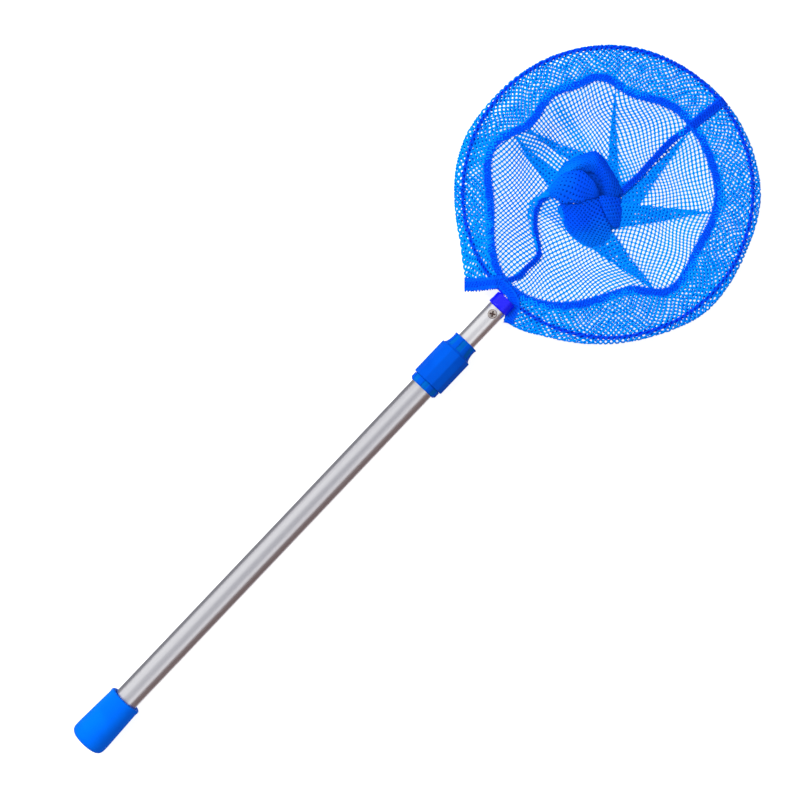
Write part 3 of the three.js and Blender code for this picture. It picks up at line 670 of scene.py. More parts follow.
def netting(name, place, inside, holes, reach, turn, creases=(), pitch=PITCH, flow=np.copy):
    """Knitted mesh as real threads: a lattice of open cells on the flat cloth, each with a hole
    whose corners are cut, put in its place in the world and given its thickness.

    place takes points of the flat cloth as complex numbers and returns x, y and z with a ply
    value, which paints the thread darker as painted shade, and inside says which cells are part
    of the piece. holes gives the size of the holes at points of the cloth, as a share of the open
    mesh's. reach is how far the cloth goes from its origin, and turn the angle of its threads, that
    flow draws out of their square. creases are lines on the flat cloth, a point and a direction,
    that the threads are cut along so that they fold sharply.
    """
    grain = pitch * cmath.exp(1j * math.radians(turn))
    count = math.ceil(reach / pitch) + 3
    steps = np.arange(-count, count + 1)
    cells = (steps[:, None] + 1j * steps).ravel()
    cells = cells[inside(flow((cells + 0.5 + 0.5j) * grain))]
    known = set(cells.tolist())
    beside = [sum(cell + step in known for step in (1, -1, 1j, -1j)) for cell in cells.tolist()]
    cells = cells[np.array(beside) > 1]
    box = (cells[:, None] + np.array([0, 1, 1 + 1j, 1j])).ravel()
    corner, index = np.unique(np.round(box, 6), return_inverse=True)
    a, b, c = HOLE
    half = [complex(c - a, -b), complex(a - c, -b), complex(a, c - b), complex(a, b - c)]
    hole = np.array([*half, *[-point for point in half]])
    middle = cells + 0.5 + 0.5j
    share = holes(flow(middle * grain))
    knit = np.concatenate([corner, (middle[:, None] + hole * share[:, None]).ravel()])
    flat = flow(knit * grain)
    faces = []
    for at_cell, ring in enumerate(index.reshape(-1, 4).tolist()):
        first = len(corner) + len(hole) * at_cell
        for side in range(4):
            here, ahead, rim = ring[side], ring[side - 3], first + 2 * side
            faces += [(here, ahead, rim + 1, rim), (ahead, first + (2 * side + 2) % 8, rim + 1)]
    piece = to_mesh(name, np.stack([flat.real, flat.imag, 0 * flat.real], 1), faces, NET)
    keep_values(piece, "knit", np.stack([knit.real, knit.imag, 0 * knit.real], 1))
    if creases:
        cut_along(piece, creases)
    spots = np.zeros(3 * len(piece.data.vertices))
    piece.data.vertices.foreach_get("co", spots)
    spots = spots.reshape(-1, 3) / MM - (HOOP_CENTRE, 0, 0)
    flat = spots[:, 0] + 1j * spots[:, 1]
    x, y, z, ply = place(flat)
    world = (np.stack([x, y, z], 1) + (HOOP_CENTRE, 0, 0)) * MM
    piece.data.vertices.foreach_set("co", world.ravel())
    # the ply value is kept for the material's painted shade
    keep_values(piece, "ply", ply + 0 * x)
    apply_modifier(piece, "SOLIDIFY", thickness=CLOTH * MM, offset=0, use_even_offset=False)
    only(piece)
    ops.object.shade_smooth()
    spread = [flat.real.min(), flat.imag.min(), flat.real.max(), flat.imag.max()]
    piece["cut"] = [*spread, len(cells) * pitch**2]
    return piece


def cut_along(piece, creases):
    shape = bmesh.new()
    shape.from_mesh(piece.data)
    for point, direction in creases:
        across = direction * 1j
        bmesh.ops.bisect_plane(
            shape,
            geom=shape.verts[:] + shape.edges[:] + shape.faces[:],
            dist=WELD,
            plane_co=((point.real + HOOP_CENTRE) * MM, point.imag * MM, 0),
            plane_no=(across.real, across.imag, 0),
        )
    shape.to_mesh(piece.data)
    shape.free()


def declare_cloth(piece):
    left, near, right, far, area = piece["cut"]
    area *= MM**2


# Half the section of a tape: shares of its width, and of its thickness
ACROSS = [-1, -0.86, -0.5, 0, 0.5, 0.86]
LIFT = [0, 0.75, 1, 1, 1, 0.75]


def strap(name, line, width, thickness, finish, closed=False, ribs=2.1, ragged=0.0):
    """A sewn tape that follows a line of (x, y, z) points: a rounded flat section whose faces
    and edges rise and fall with the loops of its stitching."""
    line = np.asarray(line, float)
    ahead = np.roll(line, -1, 0) - np.roll(line, 1, 0)
    if not closed:
        ahead[0], ahead[-1] = line[1] - line[0], line[-1] - line[-2]
    ahead[:, 2] = 0
    ahead /= np.linalg.norm(ahead, axis=1)[:, None]
    side = np.stack([ahead[:, 1], -ahead[:, 0], 0 * ahead[:, 0]], 1)
    along = lengths(line)
    run = along[:, None]
    across, lift = (np.array([*half, *[-x for x in half]]) for half in (ACROSS, LIFT))
    wave = 2 * math.pi / ribs
    slant = run + 0.35 * width * across * np.sign(lift + 0.01)
    uneven = 0.6 + 0.4 * np.sin(0.9 * run + 1.3 * np.sin(0.37 * run))
    loops = RIB_HEIGHT * uneven * np.sin(wave * slant) * (np.abs(lift) > 0.5)
    edge = 1 + 0.05 * np.sin(wave * run) * np.abs(across) ** 3
    teeth = 0.5 + 0.5 * np.sin(1.3 * wave * run + 0.4 * np.sin(run) + 2.2 * across)
    out = across * (width / 2 * edge - ragged * teeth * (np.abs(across) > 0.8))
    points = line[:, None] + side[:, None] * out[..., None]
    points[..., 2] += lift * thickness / 2 + loops * np.sign(lift)
    count, rim = len(line), len(across)
    faces = []
    for i in range(count if closed else count - 1):
        here, there = i * rim, (i + 1) % count * rim
        faces += [
            (here + j, there + j, there + (j + 1) % rim, here + (j + 1) % rim) for j in range(rim)
        ]
    if not closed:
        faces += [tuple(range(rim)), tuple((count - 1) * rim + j for j in reversed(range(rim)))]
    piece = to_mesh(name, points.reshape(-1, 3), faces, finish)
    weave = np.stack([np.broadcast_to(run, out.shape), out, 0 * out], -1).reshape(-1, 3)
    keep_values(piece, "weave", weave)
    only(piece)
    mode("EDIT")
    close_up()
    ops.object.shade_smooth()
    return piece


# The bag: flat sectors of net between knife pleats that run in from the rim and widen

DISH_TOP = 12.0
DISH_DROP = 0.6
FLAT_RADIUS = 50

# A pleat's plies lie this far apart, once its fold has run in by a length
PLY_GAP = 0.9
PLY_GAP_IN = 12


def dish(plane):
    """Height of the bag's upper ply: down from the rim and flat on the ground."""
    x, y = plane.real, plane.imag
    rim = rim_radius(degrees_of(plane)) - 2
    radius = np.abs(plane)
    ripple = 0.35 * np.sin(x / 9 + 1) * np.sin(y / 11 + 2) * smooth(rim - radius, 0, 15)
    return -DISH_DROP - (DISH_TOP - DISH_DROP) * (1 - smooth(radius, FLAT_RADIUS, rim)) + ripple


class Pleat:
    """A knife pleat: all the cloth past a fold goes under by a wedge and comes forward again.
    foot is where it starts at the rim, way is where its fold runs and turn is the wedge, all as
    complex numbers; past the fold is the side on the right of that way."""

    def __init__(self, foot, way, turn):
        self.foot, self.way, self.turn = foot, way, turn

    def fold(self, plane, height, ply):
        """Folds points of the cloth, in the plane, and returns them with their height and ply; the
        ply value also sets the painted shade of the doubled cloth.
        """
        here = (plane - self.foot) / self.way
        there = (plane - self.foot) / (self.way / self.turn)
        past, beyond = -here.imag, -there.imag
        roll = PLY_GAP / 2 * np.clip(here.real / PLY_GAP_IN, 0, 1)
        length = np.maximum(math.pi * roll, 1e-6)
        rolled, half = [], []
        for distance in (past, beyond):
            bend = math.pi * np.clip(distance / length, 0, 1)
            around = roll * np.sin(bend) - np.maximum(distance - length, 0)
            rolled.append(np.where(distance < 0, distance, around))
            half.append(roll * (1 - np.cos(bend)))
        under = self.foot + self.way * (here.real - 1j * rolled[0])
        start = self.foot - 1j * length * self.way
        over = start + self.way * self.turn * (there.real + 1j * rolled[1])
        moved = np.where(beyond > 0, over, under)
        clear = -((moved - self.foot) / self.way).imag
        drop = -half[0] - np.where(beyond > 0, half[1], 0)
        drop = drop + 4 * roll * smooth(clear, 0.5, 14) * (beyond > 0)
        back = (moved - self.foot) / (self.way * self.turn)
        doubled = smooth(-clear, -0.8, 0.2) * smooth(-back.imag, -0.8, 0.2) * (here.real > 0)
        return moved, height + drop, np.maximum(ply, doubled)


def panel_place(pleats):
    """Where the flat cloth of a panel lies, and its fold lines on the flat cloth. pleats are
    given as they lie in the world, from the panel's first seam to its last: degrees round the
    rim, the heading of the fold and the wedge."""
    flat_pleats, creases = [], []
    spin, shift = 1, 0
    for angle, heading, wedge in pleats:
        way, turn = (cmath.exp(1j * math.radians(x)) for x in (heading, wedge))
        flat = Pleat(rim_point(angle) * spin + shift, way * spin, turn)
        flat_pleats.append(flat)
        roll_length = math.pi * PLY_GAP / 2
        for way in (flat.way, flat.way / flat.turn):
            creases += [(flat.foot - 1j * way * roll_length * k / 3, way) for k in range(4)]
        back = 1 / flat.turn**2
        spin, shift = spin * back, (shift - flat.foot) * back + flat.foot

    def place(plane):
        height, ply = np.zeros(len(plane)), np.zeros(len(plane))
        for flat in reversed(flat_pleats):
            plane, height, ply = flat.fold(plane, height, ply)
        return plane, height, ply

    return place, creases


def within(plane, outline):
    """Whether points lie inside an outline of complex numbers."""
    hit = np.zeros(len(plane), bool)
    for a, b in zip(outline, outline[1:] + outline[:1]):
        crossing = (a.imag > plane.imag) != (b.imag > plane.imag)
        rise = (b.imag - a.imag) or 1e-9
        hit ^= crossing & (plane.real < (b.real - a.real) * (plane.imag - a.imag) / rise + a.real)
    return hit


FAR_SEAM_LINE = [
    rim_point(FAR_SEAM), 62 - 8j, 41.5 - 8j, 28 - 8.5j, 15 - 7.5j, 7 - 6.5j, 1 - 3.5j
]
NEAR_SEAM_LINE = [
    rim_point(177.5), -91 + 5j, -82.5 + 5j, -75 + 4.5j, -69 + 5j, -64.5 + 10j,
    -60 + 16j, -54.5 + 22.5j, -48.5 + 28j, -41.5 + 31.5j, -36 + 32j, -31 + 31.5j,
]

# Soft folds of the bag: where each starts and ends, its width, and how far it shuts the holes
SOFT_FOLDS = [(-14 + 92j, -10 + 34j, 8, 0.2), (22 + 78j, 14 + 30j, 5, 0.24)]

# How much the holes close under a second ply, and beside the bun between two radii
DOUBLED_SHUT = 0.22
BUN_SHUT = 0.2
BUN_SHUT_RADII = (20, 34)

# The bag has no cloth at its middle, and its under plies end where the bun hides them
BUN_CORE = 8
UNDER_PLY = -0.25
BUN_FRONT = -15
BUN_LOW, BUN_HIGH = -16, 33
PANEL_REACH = 300


def pulled(plane):
    """The bag's mesh drawn out of square by its gathers."""
    x, y = plane.real, plane.imag
    across = 2.2 * np.sin(y / 12 + 1.1) + 1.1 * np.sin((x + y) / 9)
    along = 2.0 * np.sin(x / 14 - 0.6) + 1.1 * np.sin((x - y) / 10 + 2)
    return plane + across + 1j * along


def drawn_shut(world):
    """How far the holes close along the bag's soft folds, from the rim tape to the bun."""
    shut = 0
    for top, foot, width, much in SOFT_FOLDS:
        along = (world - top) / (foot - top)
        aside = along.imag * abs(foot - top) / width
        reach = smooth(along.real, -0.1, 0.3) * (along.real < 1.2)
        shut = np.maximum(shut, much * np.exp(-(aside**2)) * reach)
    return shut


def panel(name, pleats, outline, turn, askew=0):
    """A panel of the bag. Past its last pleat the grain of its mesh may lie askew: the cloth
    there is its own strip, whose edge lies hidden under the pleat."""
    lie, creases = panel_place(pleats)

    def place(plane):
        world, height, ply = lie(plane)
        height = LOWEST + np.logaddexp(0, (height + dish(world) - LOWEST) * 2.5) / 2.5
        # painted shade: the doubled plies of a pleat are painted darker
        return world.real, world.imag, height, 0.32 * ply

    def holes(plane):
        world, _, ply = lie(plane)
        near_bun = 1 - smooth(np.abs(world), *BUN_SHUT_RADII)
        return 1 - DOUBLED_SHUT * (ply > 0.5) - BUN_SHUT * near_bun - drawn_shut(world)

    def inside(plane):
        world, height, _ = lie(plane)
        near = np.abs(world)
        behind = (world.real < BUN_FRONT) & (BUN_LOW < world.imag) & (world.imag < BUN_HIGH)
        on_panel = within(world, outline) & (near < rim_radius(degrees_of(world)) + 1.2)
        return on_panel & (near > BUN_CORE) & ~(behind & (height < UNDER_PLY))

    def knit(part, grain, wanted):
        return netting(part, place, wanted, holes, PANEL_REACH, grain, creases, flow=pulled)

    if not askew:
        return knit(name, turn, inside)
    cut, way = creases[-1]
    before = ((40 - cut) / way).imag
    first, last = (
        knit(part, grain, lambda plane: inside(plane) & (((plane - cut) / way).imag * side > 0))
        for part, grain, side in ((name, turn, before), (name + "_end", turn + askew, -before))
    )
    ends = np.array([list(first["cut"]), list(last["cut"])])
    first["cut"] = [*ends.min(0)[:2], *ends.max(0)[2:4], ends[:, 4].sum()]
    only(first)
    last.select_set(True)
    ops.object.join()
    return first


LEFT_PLEATS = [(39, 218.9, 8), (96, 281, 13), (101.5, 260, 15)]
RIGHT_PLEATS = [(249.5, 78.4, 20), (303, 126.4, 15.7), (351, 178, 11)]
ROUND_LEFT, ROUND_RIGHT = (
    [complex(polar(125, angle)) for angle in range(start, start + 176, 8)] for start in (-4, 180)
)
LEFT_OUTLINE = [*reversed(FAR_SEAM_LINE), *ROUND_LEFT, *NEAR_SEAM_LINE, -20 + 20j]
RIGHT_OUTLINE = [*reversed(NEAR_SEAM_LINE), *ROUND_RIGHT, *FAR_SEAM_LINE, 0j, -20 + 20j]


# The bun: the gathered foot of the bag, twisted into overlapping lobes


def lobe(name, rows, turn, ply, open_share, drop=0.0, pitch=2.4):
    """A curved sheet of net through rows of (x, y, height over the ground) points. Its ply value,
    at the first row and at the last, sets its painted shade: darker the deeper it lies in the
    gathers."""
    last = 47
    grid = spline(spline(rows, last + 1).transpose(1, 0, 2), last + 1).transpose(1, 0, 2)
    grid[..., 2] += FLOOR - drop
    down, over = (
        np.linalg.norm(np.diff(grid, axis=axis), axis=2).sum(axis).mean() for axis in (0, 1)
    )

    def place(flat):
        share = np.clip(flat.imag / over, 0, 1)
        row, by = np.clip(flat.real / down, 0, 1) * last, share * last
        i, j = (np.minimum(x.astype(int), last - 1) for x in (row, by))
        u, v = (row - i)[:, None], (by - j)[:, None]
        spot = (grid[i, j] * (1 - u) + grid[i + 1, j] * u) * (1 - v)
        spot = spot + (grid[i, j + 1] * (1 - u) + grid[i + 1, j + 1] * u) * v
        gathers = np.sin(1.75 * flat.imag + 1.5 * np.sin(flat.real / 6))
        height = np.maximum(spot[:, 2] + 1.4 * share * (1 - share) * gathers, LOWEST)
        return spot[:, 0], spot[:, 1], height, np.interp(flat.real / down, (0, 1), ply)

    def inside(flat):
        return (flat.real > 0) & (flat.real < down) & (flat.imag > 0) & (flat.imag < over)

    def holes(flat):
        return np.full(len(flat), open_share)

    return netting(name, place, inside, holes, down + over, turn, pitch=pitch)


SWIRL = [
    [(-45, 37, 2.5), (-41, 35, 3.5), (-37, 33, 2.5)],
    [(-26, 35, 2.5), (-27, 31.5, 6), (-27, 27, 4)],
    [(-11, 38, 2.5), (-12.5, 32.5, 8.5), (-16, 27, 5)],
    [(-2, 38.5, 2.5), (-2, 31.5, 9.5), (-3.5, 26, 5)],
    [(13.5, 31.5, 2.5), (8, 26.5, 10), (1.5, 22, 5)],
    [(18.5, 26.5, 2.5), (12, 21.5, 10), (4.5, 17.5, 4.5)],
    [(17, 14, 2.5), (11.5, 13, 9), (4.5, 11, 3.5)],
    [(13, 0, 3.5), (8, 2.5, 7), (1, 4, 3)],
    [(8.5, -9, 4), (1, -6, 5), (-6, 0, 3)],
]
ROLL = [
    [(-30.5, 34, 4), (-30.5, 31.5, 5), (-30, 28.5, 4)],
    [(-15, 34.5, 8), (-22, 30.5, 10), (-29.5, 24.5, 6)],
    [(-5.5, 31, 9.5), (-14.5, 24, 11.5), (-27, 17, 7)],
    [(-0.5, 24.5, 10), (-10, 17, 12), (-21, 11.5, 8)],
    [(0, 16, 10), (-6.5, 12, 11.5), (-14.5, 7.5, 8.5)],
    [(-2, 9, 10), (-5, 7, 11), (-9, 4.5, 8.5)],
    [(-4, 4, 9), (-5, 3.5, 9), (-6, 3, 8.5)],
]
# The sheet at the bun's middle, under the swirl and the roll, is painted dark as the hollow's shade
HOLLOW = [
    [(-1.5, 29.5, 3), (-20.5, 11.5, 3)],
    [(9, 22, 3), (-13.5, 0.5, 3)],
    [(13, 10, 3), (-7.5, -9.5, 3)],
    [(10.5, 0, 3), (-4.5, -16.5, 3)],
    [(7, -8, 2.5), (-1, -17, 2.5)],
]
LOWER_LOBE = [
    [(-28.5, 23.5, 4), (-24, 14, 7), (-14.5, 7.5, 8), (-3.5, 4, 6.5)],
    [(-33, 13.5, 3), (-27.5, 5.5, 9), (-21, 0, 9.5), (-10, -4, 8)],
    [(-39.5, 6, 2.5), (-33, -1.5, 8.5), (-25.5, -8, 9), (-13.5, -14.5, 7)],
    [(-41, -4, 2.5), (-34.5, -10.5, 6), (-27.5, -16.5, 6), (-16.5, -21, 4)],
    [(-40, -14.5, 2), (-36.5, -19.5, 2.5), (-29, -24.5, 2.5), (-19.5, -25, 2)],
]
RIGHT_LOBE = [
    [(-4.5, 5, 7.5), (0, -2.5, 7), (5.5, -9, 3)],
    [(-9, -1.5, 10), (-5, -9, 8), (-0.5, -17, 2.5)],
    [(-12.5, -10, 9), (-10.5, -16, 7), (-7.5, -22, 2.5)],
    [(-15, -18, 6), (-14.5, -21.5, 4), (-13, -24.5, 2.5)],
]
FRINGE = [
    [(-31.5, 23, 2.5), (-29, 19, 3.5), (-26, 15, 4)],
    [(-36, 14.5, 2.5), (-34, 11, 3), (-32.5, 7, 4)],
    [(-40.5, 5, 2.5), (-39.5, 2.5, 3), (-38.5, -0.5, 3.5)],
]
SEAM_FOLD = [
    [(-24.5, 33.5, 3.5), (-26, 30, 4)],
    [(-31, 36, 3.5), (-34, 31, 3.5)],
    [(-38, 38, 3.5), (-38, 31, 3.5)],
    [(-46, 37.5, 4.5), (-45, 29, 3.5)],
    [(-53, 32.5, 5.5), (-51.5, 24.5, 4)],
    [(-58.5, 24.5, 5.5), (-56.5, 18.5, 4.5)],
    [(-64, 15.5, 6.5), (-62, 12, 5.5)],
    [(-68, 8, 7.5), (-67, 7, 7)],
]


def make_bun():
    """The lobes, each over a closer lining that lies a little lower. Their ply values paint shade
    into them, and the linings and the hollow are painted darkest.
    """
    pieces = []
    for name, rows, turn, ply, share in (
        ("bun_hollow", HOLLOW, 20, (1.6, 1.6), 0.4),
        ("bun_swirl", SWIRL, 30, (0.25, 1.6), 0.42),
        ("bun_roll", ROLL, 12, (0.75, 1.45), 0.5),
        ("bun_lower_lobe", LOWER_LOBE, 40, (1.45, 0.5), 0.72),
        ("bun_right_lobe", RIGHT_LOBE, 22, (1.2, 0.9), 0.55),
        ("bun_fringe", FRINGE, 35, (0.8, 0.3), 0.8),
    ):
        pieces.append(lobe(name, rows, turn, ply, share))
        pieces.append(lobe(name + "_lining", rows, turn + 25, (1.5, 1.5), 0.15, drop=0.9))
    return pieces


# The sleeve round the wire

# A mean radius, that turns lengths along the flat cloth into angles, and its width at most
SLEEVE_MEAN = 98
SLEEVE_WIDTH = 120

# Where the sleeves end, in degrees: at the inner radius of the flaps and at the outer one
FLAP_RADII = (100, 128)
LEFT_END = (173.2, 165.8)
RIGHT_END = (181.5, 187.5)

# How far the sleeve's outer fold lies beyond the wire's middle, by degrees round the hoop: it
# swells between gathers, and grows into the loose flaps by the ferrule
LEFT_SWELL = spline([
    (-8, 3), (8, 1.9), (30, 2.4), (60, 2.1), (80, 2.3), (96, 3.3), (112, 6.3), (124, 7),
    (136, 6.7), (146, 7.3), (153, 8.6), (161, 13.4), (168.2, 18.6), (177, 19),
], 300)
RIGHT_SWELL = spline([
    (177, 16), (184.6, 15.3), (192, 13.2), (200, 9.2), (210, 7), (224, 5), (240, 4.5),
    (250, 5.6), (262, 7.4), (272, 6.4), (288, 4.5), (300, 5.1), (312, 6.2), (328, 4.9),
    (340, 3.8), (352, 3),
], 300)

# How far open the sleeve's holes are, how much they close at the tape, and where its cloth is
# bunched along the wire: degrees, spread and how far the holes close
SLEEVE_OPEN = 0.93
TAPE_SHUT = 0.14
BUNCHES = [(115, 8, 0.24), (138, 12, 0.1), (157, 9, 0.26), (196, 14, 0.1), (272, 9, 0.14)]


def sleeve_edge(angle):
    """Radius of the sleeve's outer fold."""
    turn = (np.asarray(angle, float) - FAR_SEAM) % 360 + FAR_SEAM
    left, right = (np.interp(turn, *line.T) for line in (LEFT_SWELL, RIGHT_SWELL))
    return HOOP_RADIUS + np.where(turn < NEAR_SEAM + 1, left, right)


def sleeve_height(radius, outer, side):
    """Height of a layer of the sleeve: together at the tape, apart round the wire, closing at
    the fold."""
    wire = np.exp(-(((radius - HOOP_RADIUS) / 2.4) ** 2)) * (WIRE_RADIUS + 0.05)
    fold = np.sqrt(np.clip((outer - radius) / 1.2, 0, 1))
    return side * (0.45 + wire) * fold


def gathered(flat):
    """The sleeve's mesh drawn out of square along the wire."""
    s, t = flat.real, flat.imag
    along = 1.7 * np.sin(s / 8.3 + 0.13 * t) + 0.7 * np.sin(s / 3.9 + 0.2 * t + 1)
    return flat + along + 1.1j * np.sin(s / 9.1 + 0.09 * t + 2)


def sleeve(name, starts, ends, turn):
    """A sleeve between two ends, each an angle at its inner edge and one out in the flaps."""

    def lie(flat):
        angle = np.degrees(flat.real / SLEEVE_MEAN)
        outer = sleeve_edge(angle)
        radius = outer - np.abs(flat.imag)
        return angle, outer, radius, radius - rim_radius(angle)

    def place(flat):
        angle, outer, radius, above_tape = lie(flat)
        spot = polar(radius, angle)
        around = np.radians(angle)
        pucker = 0.25 * np.sin(around * 47 + np.sin(around * 11))
        pucker = pucker * smooth(outer - radius, 1, 8) * smooth(above_tape, 0, 6)
        height = sleeve_height(radius, outer, np.sign(flat.imag + 1e-9)) + pucker
        # painted shade: the sleeve is painted a little darker everywhere, and much darker over the
        # wire
        over_wire = np.exp(-(((radius - HOOP_RADIUS) / 1.5) ** 4))
        return spot.real, spot.imag, height, 0.12 + 1.25 * over_wire

    def inside(flat):
        angle, _, radius, above_tape = lie(flat)
        low, high = (np.interp(radius, FLAP_RADII, pair) for pair in (starts, ends))
        return (angle > low) & (angle < high) & (above_tape > -1)

    def holes(flat):
        angle, _, _, above_tape = lie(flat)
        bunched = sum(
            much * np.exp(-(((angle - middle) / spread) ** 2)) for middle, spread, much in BUNCHES
        )
        return SLEEVE_OPEN - bunched - TAPE_SHUT * (1 - smooth(above_tape, 2, 7))

    reach = math.radians(max(ends)) * SLEEVE_MEAN + SLEEVE_WIDTH
    return netting(name, place, inside, holes, reach, turn, flow=gathered)


# Wire, tapes, hems and stitches


def cord(name, lines, radius, resolution, finish):
    """Round cords through lines of (x, y, z) points, as one mesh."""
    curve = bpy.data.curves.new(name, "CURVE")
    curve.dimensions = "3D"
    curve.bevel_depth = radius * MM
    curve.bevel_resolution = resolution
    curve.use_fill_caps = True
    for points in lines:
        row = curve.splines.new("POLY")
        row.points.add(len(points) - 1)
        for spot, (x, y, z) in zip(row.points, points):
            spot.co = ((x + HOOP_CENTRE) * MM, y * MM, z * MM, 1)
    only(in_scene(name, curve))
    ops.object.convert(target="MESH")
    piece = bpy.context.object
    mode("EDIT")
    close_up()
    ops.object.shade_smooth()
    piece.data.materials.clear()
    piece.data.materials.append(finish)
    return piece


def make_wire():
    """The hoop wire: a leg out of the ferrule, a bend, the hoop and back."""
    bend = 3.0
    reach = HOOP_RADIUS + bend
    bend_x = -math.sqrt(reach**2 - (LEG_Y + bend) ** 2)
    opening = math.asin((LEG_Y + bend) / reach)
    leg = np.linspace(WIRE_START + 0.4 - HOOP_CENTRE, bend_x, 12)[:-1] + 1j * LEG_Y
    turn = np.linspace(0, math.pi / 2 - opening, 8)
    curve = bend_x + 1j * LEG_Y + bend * (np.sin(turn) + 1j * (1 - np.cos(turn)))
    around = HOOP_RADIUS * np.exp(1j * np.linspace(math.pi - opening, 0, 140)[1:])
    upper = np.concatenate([leg, curve, around])
    line = [(p.real, p.imag, 0) for p in [*upper, *upper[-2::-1].conj()]]
    return cord("hoop_wire_coated", [line], WIRE_RADIUS, 5, COATING)


def line_of(points, heights):
    """A dense line of (x, y, z) through points in the plane, with heights to match."""
    rough = spline([(p.real, p.imag, h) for p, h in zip(points, heights)], 400)
    along = lengths(rough)
    return stacked(rough, along, np.linspace(0, along[-1], int(along[-1] / LINE_STEP)))


def stitches(name, line, offset, reach=0.9, rise=0.75, closed=False):
    """Overcast stitching along both edges of a tape: a thread zigzags over each edge, offset
    from the tape's middle and reach to each side of there."""
    along = lengths(line)
    count = int(along[-1] / STITCH_PITCH) * 2
    spots = stacked(line, along, np.linspace(0, along[-1], count + 1))
    ahead = np.gradient(spots, axis=0)
    if closed:
        ahead[0] = ahead[-1] = ahead[0] + ahead[-1]
    ahead /= np.linalg.norm(ahead[:, :2], axis=1)[:, None]
    side = np.stack([ahead[:, 1], -ahead[:, 0], 0 * ahead[:, 0]], 1)
    swing = np.where(np.arange(count + 1) % 2, 1.0, -1.0)[:, None]
    threads = []
    for way in (-1, 1):
        thread = spots + side * (way * offset + way * reach * swing)
        thread[:, 2] += rise - THREAD_RADIUS * (1 + swing[:, 0])
        threads.append(thread)
    return cord(name, threads, THREAD_RADIUS, 1, THREAD)


def make_rim_tape():
    angles = np.arange(0, 360, 0.28)
    plane = polar(rim_radius(angles), angles)
    line = np.stack([plane.real, plane.imag, 0.1 * np.sin(np.radians(angles) * 9)], 1)
    return [
        strap("rim_binding", line, 7, 1.5, RIM_TAPE, closed=True, ragged=0.6),
        stitches("rim_stitches", np.concatenate([line, line[:1]]), 3, closed=True),
    ]


def over_dish(points, rise):
    return [float(dish(point)) + rise for point in points]


def make_seam_tapes():
    far = [rim_point(FAR_SEAM, 1), *FAR_SEAM_LINE[1:]]
    near = [rim_point(174.5, 1), *NEAR_SEAM_LINE[1:]]
    far_line = line_of(far, over_dish(far[:-2], 0.9) + [-12.6, -13.2])
    near_line = line_of(near, over_dish(near, 1.0))
    return [
        strap("far_seam_binding", far_line, 5.0, 1.2, SEAM_TAPE),
        strap("near_seam_binding", near_line, 4.2, 1.1, SEAM_TAPE),
        stitches("far_seam_stitches", far_line, 2.1, rise=0.6),
        stitches("near_seam_stitches", near_line, 1.8, reach=0.7, rise=0.55),
    ]


def layered(name, line, width, finish, **more):
    """A hem round both layers of the sleeve: one strap over it and one under it."""
    made = []
    for side, label in ((1, "_top"), (-1, "_under")):
        heights = sleeve_height(np.abs(line), HEM_REACH, side) + side * 0.4
        points = np.stack([line.real, line.imag, heights], 1)
        made.append(strap(name + label, points, width, 0.9, finish, ragged=0.9, **more))
    return made


def make_hems():
    seam_radii = np.linspace(rim_radius(FAR_SEAM) - 1.5, sleeve_edge(FAR_SEAM) - 0.4, 80)
    pieces = layered("sleeve_seam_binding", polar(seam_radii, FAR_SEAM), 8.4, SEAM_TAPE)
    left = [
        -123.9 + 30.3j, -119.4 + 25.6j, -114.3 + 21j, -109 + 16.7j, -105.4 + 13.5j, -102.5 + 11j
    ]
    right = [
        -122 - 13.7j, -118.6 - 11.6j, -112.2 - 10j, -107.6 - 6.2j, -105.2 + 0.4j,
        -104.7 + 6.3j, -104.6 + 12j,
    ]
    for name, points, width in (("left_hem", left, 10.9), ("right_hem", right, 8.8)):
        line = line_of(points, [0] * len(points))
        pieces += layered(name, line[:, 0] + 1j * line[:, 1], width, HEM_TAPE, ribs=2.6)
    return pieces


# Making the pieces

cap = make_cap()
outer_tube = make_tube("outer_tube_drawn", OUTER_TUBE, OUTER_RADIUS, SATIN)
# the inner tube takes the aluminium painted lighter, as painted highlight
inner_tube = make_tube("inner_tube_drawn", INNER_TUBE, INNER_RADIUS, PAINTED_LIGHTER_ALUMINIUM)
lock_ring = make_lock_ring()
lock_nut = make_lock_nut()
ferrule = make_ferrule()
screw = make_screw()
wire = make_wire()

bag_left = panel("bag_net_left", LEFT_PLEATS, LEFT_OUTLINE, 62, 45)
bag_right = panel("bag_net_right", RIGHT_PLEATS, RIGHT_OUTLINE, -15)
bun = make_bun()
# the seam fold's ply values paint a light shade along it
seam_fold = lobe("bag_seam_fold", SEAM_FOLD, 35, (0.3, 0.1), 0.62, pitch=PITCH)
sleeve_left = sleeve("sleeve_net_left", (FAR_SEAM, FAR_SEAM), LEFT_END, 40)
sleeve_right = sleeve("sleeve_net_right", RIGHT_END, (FAR_SEAM + 360, FAR_SEAM + 360), 38)
rim_tape, rim_stitches = make_rim_tape()
seam_tapes = make_seam_tapes()
hems = make_hems()

# What rides on what, and what stands for what

